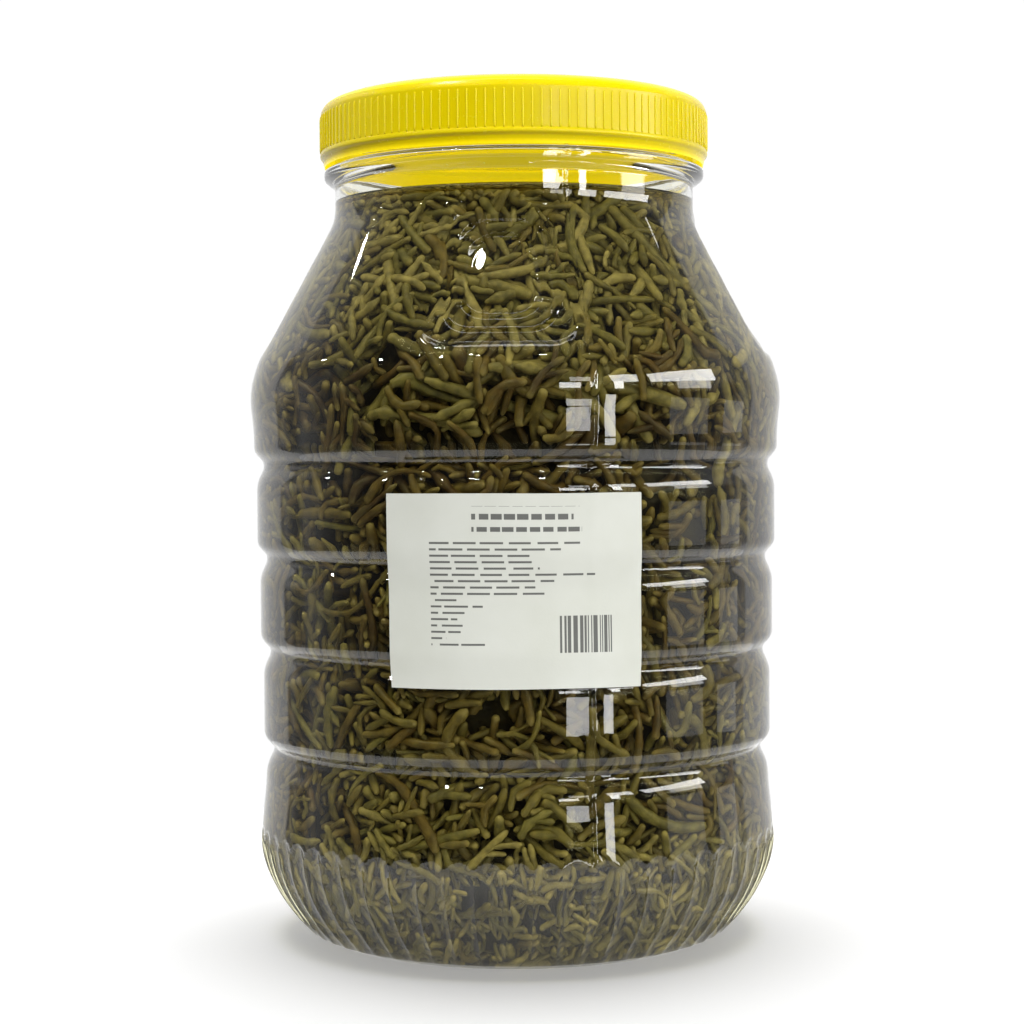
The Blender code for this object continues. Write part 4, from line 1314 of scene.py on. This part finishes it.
SIDES = 7


def stem_tree(look):
    tree, entry, leave = node_tree("stems along lines", [
        ("Sides", "NodeSocketInt", SIDES), ("Squares", "NodeSocketFloat", 32.0)])
    nodes = tree.nodes

    def named(title, kind="FLOAT"):
        node = nodes.new("GeometryNodeInputNamedAttribute")
        node.data_type = kind
        node.inputs["Name"].default_value = title
        return node.outputs["Attribute"]

    curves = nodes.new("GeometryNodeMeshToCurve")
    link(tree, entry.outputs["Geometry"], curves.inputs["Mesh"])
    section = nodes.new("GeometryNodeCurveArc")
    section.inputs["Radius"].default_value = 1.0
    section.inputs["Sweep Angle"].default_value = 2.0 * math.pi
    link(tree, math_node(tree, "ADD", entry.outputs["Sides"], 1.0), section.inputs["Resolution"])
    around = nodes.new("GeometryNodeCaptureAttribute")
    around.capture_items.new("FLOAT", "around")
    link(tree, section.outputs["Curve"], around.inputs["Geometry"])
    link(tree, nodes.new("GeometryNodeSplineParameter").outputs["Factor"], around.inputs[1])
    sweep = nodes.new("GeometryNodeCurveToMesh")
    link(tree, curves.outputs["Curve"], sweep.inputs["Curve"])
    link(tree, around.outputs["Geometry"], sweep.inputs["Profile Curve"])
    link(tree, named("girth"), sweep.inputs["Scale"])
    cell = named("cell")
    squares = entry.outputs["Squares"]
    column = math_node(tree, "MODULO", cell, squares)
    row = math_node(tree, "FLOOR", math_node(tree, "DIVIDE", cell, squares))
    spot = nodes.new("ShaderNodeCombineXYZ")
    for axis, cell_part, inner in (("X", column, around.outputs[1]), ("Y", row, named("along"))):
        inset = math_node(tree, "MULTIPLY_ADD", inner, 0.84, 0.08)
        at_square = math_node(tree, "ADD", cell_part, inset)
        link(tree, math_node(tree, "DIVIDE", at_square, squares), spot.inputs[axis])
    store = nodes.new("GeometryNodeStoreNamedAttribute")
    store.data_type, store.domain = "FLOAT2", "CORNER"
    store.inputs["Name"].default_value = "OFBake"
    link(tree, sweep.outputs["Mesh"], store.inputs["Geometry"])
    link(tree, spot.outputs["Vector"], store.inputs["Value"])
    merged = nodes.new("GeometryNodeMergeByDistance")
    merged.inputs["Distance"].default_value = 2e-6
    link(tree, store.outputs["Geometry"], merged.inputs["Geometry"])
    smooth = nodes.new("GeometryNodeSetShadeSmooth")
    link(tree, merged.outputs["Geometry"], smooth.inputs["Geometry"])
    finish_tree(tree, smooth.outputs["Geometry"], look, leave)
    return tree


# %% [markdown]
# ## The samphire's colour
# Preserved samphire loses its bright green. It is khaki and olive, with some brown pieces, and paler at
# the joints and towards the tips, partly its own colour and partly a painted highlight where they catch
# the light. Each stem carries a random number, tone, and the finish turns that number into one of these
# colours. A fine mottling gives the skin its unevenness.

# %% samphire finish
SAMPHIRE, tree, shader, mottling = new_finish("samphire", 0.5, IOR=1.42)
mottling.inputs["Broad Scale"].default_value = 320.0
mottling.inputs["Fine Scale"].default_value = 1300.0
tone, pale = tree.nodes.new("ShaderNodeAttribute"), tree.nodes.new("ShaderNodeAttribute")
tone.attribute_name, pale.attribute_name = "tone", "pale"
tones = ramp(tree, tone.outputs["Fac"], [
    (0.0, (0.026, 0.012, 0.002)), (0.15, (0.062, 0.034, 0.005)), (0.36, (0.084, 0.055, 0.010)),
    (0.56, (0.095, 0.073, 0.016)), (0.78, (0.108, 0.093, 0.024)), (1.0, (0.205, 0.168, 0.062))])
uneven = ramp(tree, mottling.outputs["Broad"], [(0.33, 0.42), (0.67, 1.12)])
body = blend(tree, 1.0, tones, uneven, "MULTIPLY")
# paler joints and tips: partly the plant's own colour, partly a painted highlight
tips = math_node(tree, "MULTIPLY", pale.outputs["Fac"], 0.42)
link(tree, blend(tree, tips, body, (0.30, 0.245, 0.095, 1.0)), shader.inputs["Base Color"])
link(tree, ramp(tree, mottling.outputs["Fine"], [(0.3, 0.42), (0.7, 0.62)]), shader.inputs["Roughness"])
add_bump(tree, shader, mottling.outputs["Both"], 0.25, 0.5)

# %% the stems
SQUARES = 40


def sweep_stems(name, chosen):
    """One mesh of edges for these pieces, swept by the tree into one object."""
    at, girth, along, cell, tones_, pales, edges, count, number = [], [], [], [], [], [], [], 0, 0
    for piece in chosen:
        # how strongly this piece's tips and joints are paler, partly colour and partly painted highlight
        tone_value, tip_share = piece["tone"], rng.uniform(0.2, 1.0)
        for points, thickness, share, pale in stem_lines(piece):
            pales.append(pale * tip_share)
            many = len(points)
            at.append(points)
            girth.append(thickness)
            along.append(share)
            cell.append(np.full(many, float(number)))
            tones_.append(np.full(many, tone_value))
            start = count + np.arange(many - 1)
            edges.append(np.stack([start, start + 1], axis=1))
            count += many
            number += 1
    mesh = bpy.data.meshes.new(name + "_lines")
    mesh.vertices.add(count)
    mesh.vertices.foreach_set("co", (np.concatenate(at) * MM).astype(np.float32).ravel())
    joined = np.concatenate(edges)
    mesh.edges.add(len(joined))
    mesh.edges.foreach_set("vertices", joined.astype(np.int32).ravel())
    for title, values, scale in (("girth", girth, MM), ("along", along, 1.0), ("cell", cell, 1.0),
                                 ("tone", tones_, 1.0), ("pale", pales, 1.0)):
        layer = mesh.attributes.new(title, "FLOAT", "POINT")
        layer.data.foreach_set("value", (np.concatenate(values) * scale).astype(np.float32))
    mesh.update()
    made = grow(name, mesh, stem_tree(SAMPHIRE), {"Sides": SIDES, "Squares": float(SQUARES)}, SAMPHIRE)
    made.data.shade_smooth()
    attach(made, "jar")
    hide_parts("samphire")
    return made


def patch(at):
    """Between -1 and 1: where on the pile browner or paler pieces lie together."""
    x, y, z = (at.mean(0) / 21.0).tolist()
    waves = (1.3 * x + 0.9 * z, 1.1 * y - 1.4 * z + 2.0, 0.8 * z + 1.7 * x - y)
    return sum(math.sin(wave) for wave in waves) / len(waves)


for piece in pieces:
    if piece["kind"] == "chunk":
        piece["tone"] = float(rng.uniform(0.0, 0.12))
        continue
    # the usual tone depends on height: darker from about 140 to 190 mm and lighter above, light in the base
    # and in the sprigs; chunks are the darkest browns
    heights, shifts = (60.0, 130.0, 155.0, 180.0, 200.0), (0.0, -0.06, -0.30, -0.26, 0.22)
    usual = 0.48 + float(np.interp(piece["height"], heights, shifts)) + 0.30 * patch(piece["at"])
    if piece["height"] < BASE_TOP or piece["kind"] == "sprig":
        usual = 0.90 + 0.08 * patch(piece["at"])
    piece["tone"] = float(np.clip(rng.normal(usual, 0.17), 0.02, 1.0))
pieces.sort(key=lambda piece: piece["height"])
batches = 7
for batch in range(batches):
    chosen = pieces[len(pieces) * batch // batches: len(pieces) * (batch + 1) // batches]
    sweep_stems(f"samphire_stems_{batch + 1}", chosen)

# %% [markdown]
# ## The dark middle of the pile
# Between the stems the eye falls on more stems in shadow. One lumpy solid stands for them, a
# little over a centimetre in from the wall. Its colour is painted shade: a near-black version of the same
# finish.

# %% the middle
MIDDLE, tree, shader, mottling = new_finish("samphire_shade", 0.7, IOR=1.4)
mottling.inputs["Broad Scale"].default_value = 210.0
mottling.inputs["Fine Scale"].default_value = 700.0
# painted shade: near-black browns for the stems that lie in shadow
shade = ramp(tree, mottling.outputs["Broad"], [(0.35, (0.005, 0.003, 0.001)), (0.68, (0.026, 0.019, 0.005))])
link(tree, shade, shader.inputs["Base Color"])
add_bump(tree, shader, mottling.outputs["Broad"], 1.5, 0.8)


def middle_rings():
    turns = even(96)
    rings = [(0.0, 0.0, PUSH_UP + 8.0)]
    for share in (0.35, 0.7):
        rings.append((turns, 58.0 * share, PUSH_UP * (1.0 - share ** 2) + 8.0))
    for height in np.arange(9.0, 237.1, 3.8):
        lump = 0.9 * np.sin(np.radians(turns) * 17.0 + height * 0.35) * np.sin(height * 0.55)
        lump = lump + 0.6 * np.sin(np.radians(turns) * 31.0 - height * 0.8)
        rings.append((turns, inner_radius(turns, height) - DEEP - 0.6 + lump, height))
    rings.append((turns, 30.0, 238.0))
    rings.append((0.0, 0.0, 238.5))
    return rings


middle = turned("samphire_middle", middle_rings(), MIDDLE)
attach(middle, "jar")
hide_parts("samphire")

# %% [markdown]
# ## The studio
# The jar stands on a white table in front of a white wall, and the room ahead of it is dark. That
# is what the plastic shows: bright edges where it mirrors the wall, a pale base where it mirrors the
# table, and a clear view in through the middle. Small ceiling lamps make rows of sparks at the
# left, and windows at the right make upright streaks. Large soft lamps light the pile and the
# label, and are left out of the reflections. The table has a lamp of its own, so that it can be
# white without the jar burning out.

# %% floor
FLOOR, tree, shader, mottling = new_finish("white_table", 0.7)
mottling.inputs["Broad Scale"].default_value = 3.0
link(tree, ramp(tree, mottling.outputs["Broad"], [(0.3, 0.76), (0.7, 0.80)]), shader.inputs["Base Color"])
shader.inputs["Emission Color"].default_value = (1.0, 1.0, 1.0, 1.0)
# the camera sees the table as white, and what the jar mirrors of it is brighter still
ray = tree.nodes.new("ShaderNodeLightPath")
shown = math_node(tree, "MULTIPLY_ADD", ray.outputs["Is Camera Ray"], -0.24, 0.57)
link(tree, shown, shader.inputs["Emission Strength"])


def make_floor():
    bm = bmesh.new()
    bmesh.ops.create_circle(bm, cap_ends=True, segments=128, radius=0.28)
    mesh = bpy.data.meshes.new("table")
    bm.to_mesh(mesh)
    bm.free()
    mesh.materials.append(FLOOR)
    made = bpy.data.objects.new("table", mesh)
    bpy.context.scene.collection.objects.link(made)
    return made


floor = make_floor()

# %% the room
def make_room():
    world = bpy.data.worlds.new("room")
    bpy.context.scene.world = world
    world.use_nodes = True
    tree = world.node_tree
    tree.nodes.clear()
    leave = tree.nodes.new("ShaderNodeOutputWorld")
    where = tree.nodes.new("ShaderNodeTexCoord")
    split = tree.nodes.new("ShaderNodeSeparateXYZ")
    link(tree, where.outputs["Generated"], split.inputs["Vector"])
    x, y, z = (split.outputs[axis] for axis in "XYZ")
    level = math_node(tree, "SQRT", math_node(tree, "ADD", math_node(tree, "MULTIPLY", x, x),
                                              math_node(tree, "MULTIPLY", y, y)))
    backness = math_node(tree, "DIVIDE", y, math_node(tree, "MAXIMUM", level, 0.02))
    rightness = math_node(tree, "DIVIDE", x, math_node(tree, "MAXIMUM", level, 0.02))
    shifted = math_node(tree, "MULTIPLY_ADD", rightness, 0.03, backness)
    around = math_node(tree, "MULTIPLY_ADD", shifted, 0.5, 0.5)
    wall = ramp(tree, around, [(0.752, 0.0), (0.778, 1.0)])
    # the wall ends above, where the room's grey ceiling starts
    height = math_node(tree, "MULTIPLY_ADD", z, 0.5, 0.5)
    upper = ramp(tree, height, [(0.86, 1.0), (0.95, 0.45)])
    wall_light = math_node(tree, "MULTIPLY", wall, upper)
    # the room's side walls are lit too, more weakly the nearer they are to the camera
    sides = ramp(tree, around, [(0.10, 0.0), (0.22, 0.02), (0.36, 0.11), (0.52, 0.34), (0.74, 0.60)])
    uneven_wall = tree.nodes.new("ShaderNodeTexNoise")
    uneven_wall.inputs["Scale"].default_value = 2.2
    link(tree, where.outputs["Generated"], uneven_wall.inputs["Vector"])
    patches = ramp(tree, uneven_wall.outputs["Fac"], [(0.38, 0.45), (0.62, 1.25)])
    sides = math_node(tree, "MULTIPLY", math_node(tree, "MULTIPLY", sides, patches),
                      ramp(tree, height, [(0.70, 1.0), (0.90, 0.2)]))
    front = ramp(tree, height, [(0.45, 0.008), (0.60, 0.020), (0.85, 0.06), (1.0, 0.12)])
    total = math_node(tree, "MAXIMUM", wall_light, math_node(tree, "MAXIMUM", sides, front))
    seen = tree.nodes.new("ShaderNodeBackground")
    room = tree.nodes.new("ShaderNodeBackground")
    seen.inputs["Color"].default_value = (1.0, 1.0, 1.0, 1.0)
    seen.inputs["Strength"].default_value = 1.02
    link(tree, total, room.inputs["Color"])
    room.inputs["Strength"].default_value = 1.0
    path = tree.nodes.new("ShaderNodeLightPath")
    mix = tree.nodes.new("ShaderNodeMixShader")
    link(tree, path.outputs["Is Camera Ray"], mix.inputs[0])
    link(tree, room.outputs["Background"], mix.inputs[1])
    link(tree, seen.outputs["Background"], mix.inputs[2])
    link(tree, mix.outputs["Shader"], leave.inputs["Surface"])
    return world


make_room()

# %% lamps
def lamp(name, azimuth, rise, distance, size, brightness, mirrored=True, aim=0.14, shape="RECTANGLE"):
    """A flat lamp that faces the jar. Azimuth and rise are in degrees, brightness is its radiance."""
    data = bpy.data.lights.new(name, "AREA")
    data.shape = shape
    data.size, data.size_y = size
    data.energy = 4.0 * size[0] * size[1] * brightness
    made = bpy.data.objects.new(name, data)
    turn, lift = math.radians(azimuth), math.radians(rise)
    level = math.cos(lift)
    where = Vector((math.sin(turn) * level, -math.cos(turn) * level, math.sin(lift))) * distance
    made.location = where + Vector((0.0, 0.0, aim))
    made.rotation_euler = where.to_track_quat("Z", "Y").to_euler()
    made.visible_camera = False
    if not mirrored:
        made.visible_glossy = False
        made.visible_transmission = False
    bpy.context.scene.collection.objects.link(made)
    return made


def light_only(objects, state, *lamps):
    """The lamps light these objects alone (INCLUDE) or everything but them (EXCLUDE)."""
    for lit_by in lamps:
        listed = bpy.data.collections.new(lit_by.name + "_lights")
        for item in objects:
            listed.objects.link(item)
        for entry in listed.collection_objects:
            entry.light_linking.link_state = state
        lit_by.light_linking.receiver_collection = listed


over_table = lamp("over_table", 180.0, 86.0, 1.7, (1.0, 1.0), 7.5, mirrored=False)
light_only([floor], "INCLUDE", over_table)
lamps = [lamp("key", -24.0, 50.0, 1.9, (0.45, 0.45), 25.0, mirrored=False),
         lamp("fill", 16.0, 24.0, 2.0, (1.5, 1.1), 1.0, mirrored=False),
         lamp("low_fill", 6.0, -3.0, 2.0, (1.6, 0.8), 1.0, mirrored=False),
         lamp("side", 66.0, 22.0, 2.0, (0.8, 0.8), 4.5, mirrored=False),
         lamp("top", 10.0, 84.0, 1.7, (1.2, 1.2), 0.8, mirrored=False),
         lamp("overhead", 0.0, 84.0, 1.7, (0.9, 0.22), 3.0),
         lamp("left_strip", -112.0, 48.0, 2.0, (0.03, 0.5), 4.0),
         lamp("right_strip", 108.0, 48.0, 2.0, (0.03, 0.5), 4.0),
         lamp("round_lamp", -60.0, 63.0, 2.0, (0.29, 0.29), 45.0, shape="DISK")]
CEILING = ((-113.0, 38.4, 0.08, 0.03), (-97.0, 28.0, 0.06, 0.04), (-64.0, 33.5, 0.06, 0.04),
           (-46.5, 38.5, 0.04, 0.03), (-35.5, 37.0, 0.04, 0.03), (-21.5, 42.0, 0.05, 0.03),
           (-18.5, 39.5, 0.04, 0.03), (13.3, 42.0, 0.12, 0.03))
for index, (azimuth, rise, wide, high) in enumerate(CEILING):
    lamps.append(lamp(f"ceiling_{index}", azimuth, rise, 2.0, (wide, high), 100.0 if index else 60.0))
WINDOWS = (  # azimuth, rise, width, height, brightness
    (24.5, -6.0, 0.22, 0.19, 5.0), (39.8, -4.6, 0.10, 0.27, 7.0), (77.5, -5.0, 0.62, 0.26, 0.6),
    (104.6, -5.0, 0.42, 0.26, 0.6), (22.0, 10.6, 0.24, 0.20, 9.0), (43.0, 10.6, 0.12, 0.24, 12.0),
    (80.0, 10.6, 0.55, 0.22, 3.5), (30.0, 18.0, 0.42, 0.16, 4.0), (46.5, 18.0, 0.34, 0.24, 8.0),
    (76.0, 18.5, 1.05, 0.26, 8.0))
for index, (azimuth, rise, wide, high, bright) in enumerate(WINDOWS):
    lamps.append(lamp(f"window_{index}", azimuth, rise, 1.7, (wide, high), bright))
light_only([floor], "EXCLUDE", *lamps)

scene = bpy.context.scene
scene.view_settings.view_transform = "Standard"
scene.view_settings.look = "None"
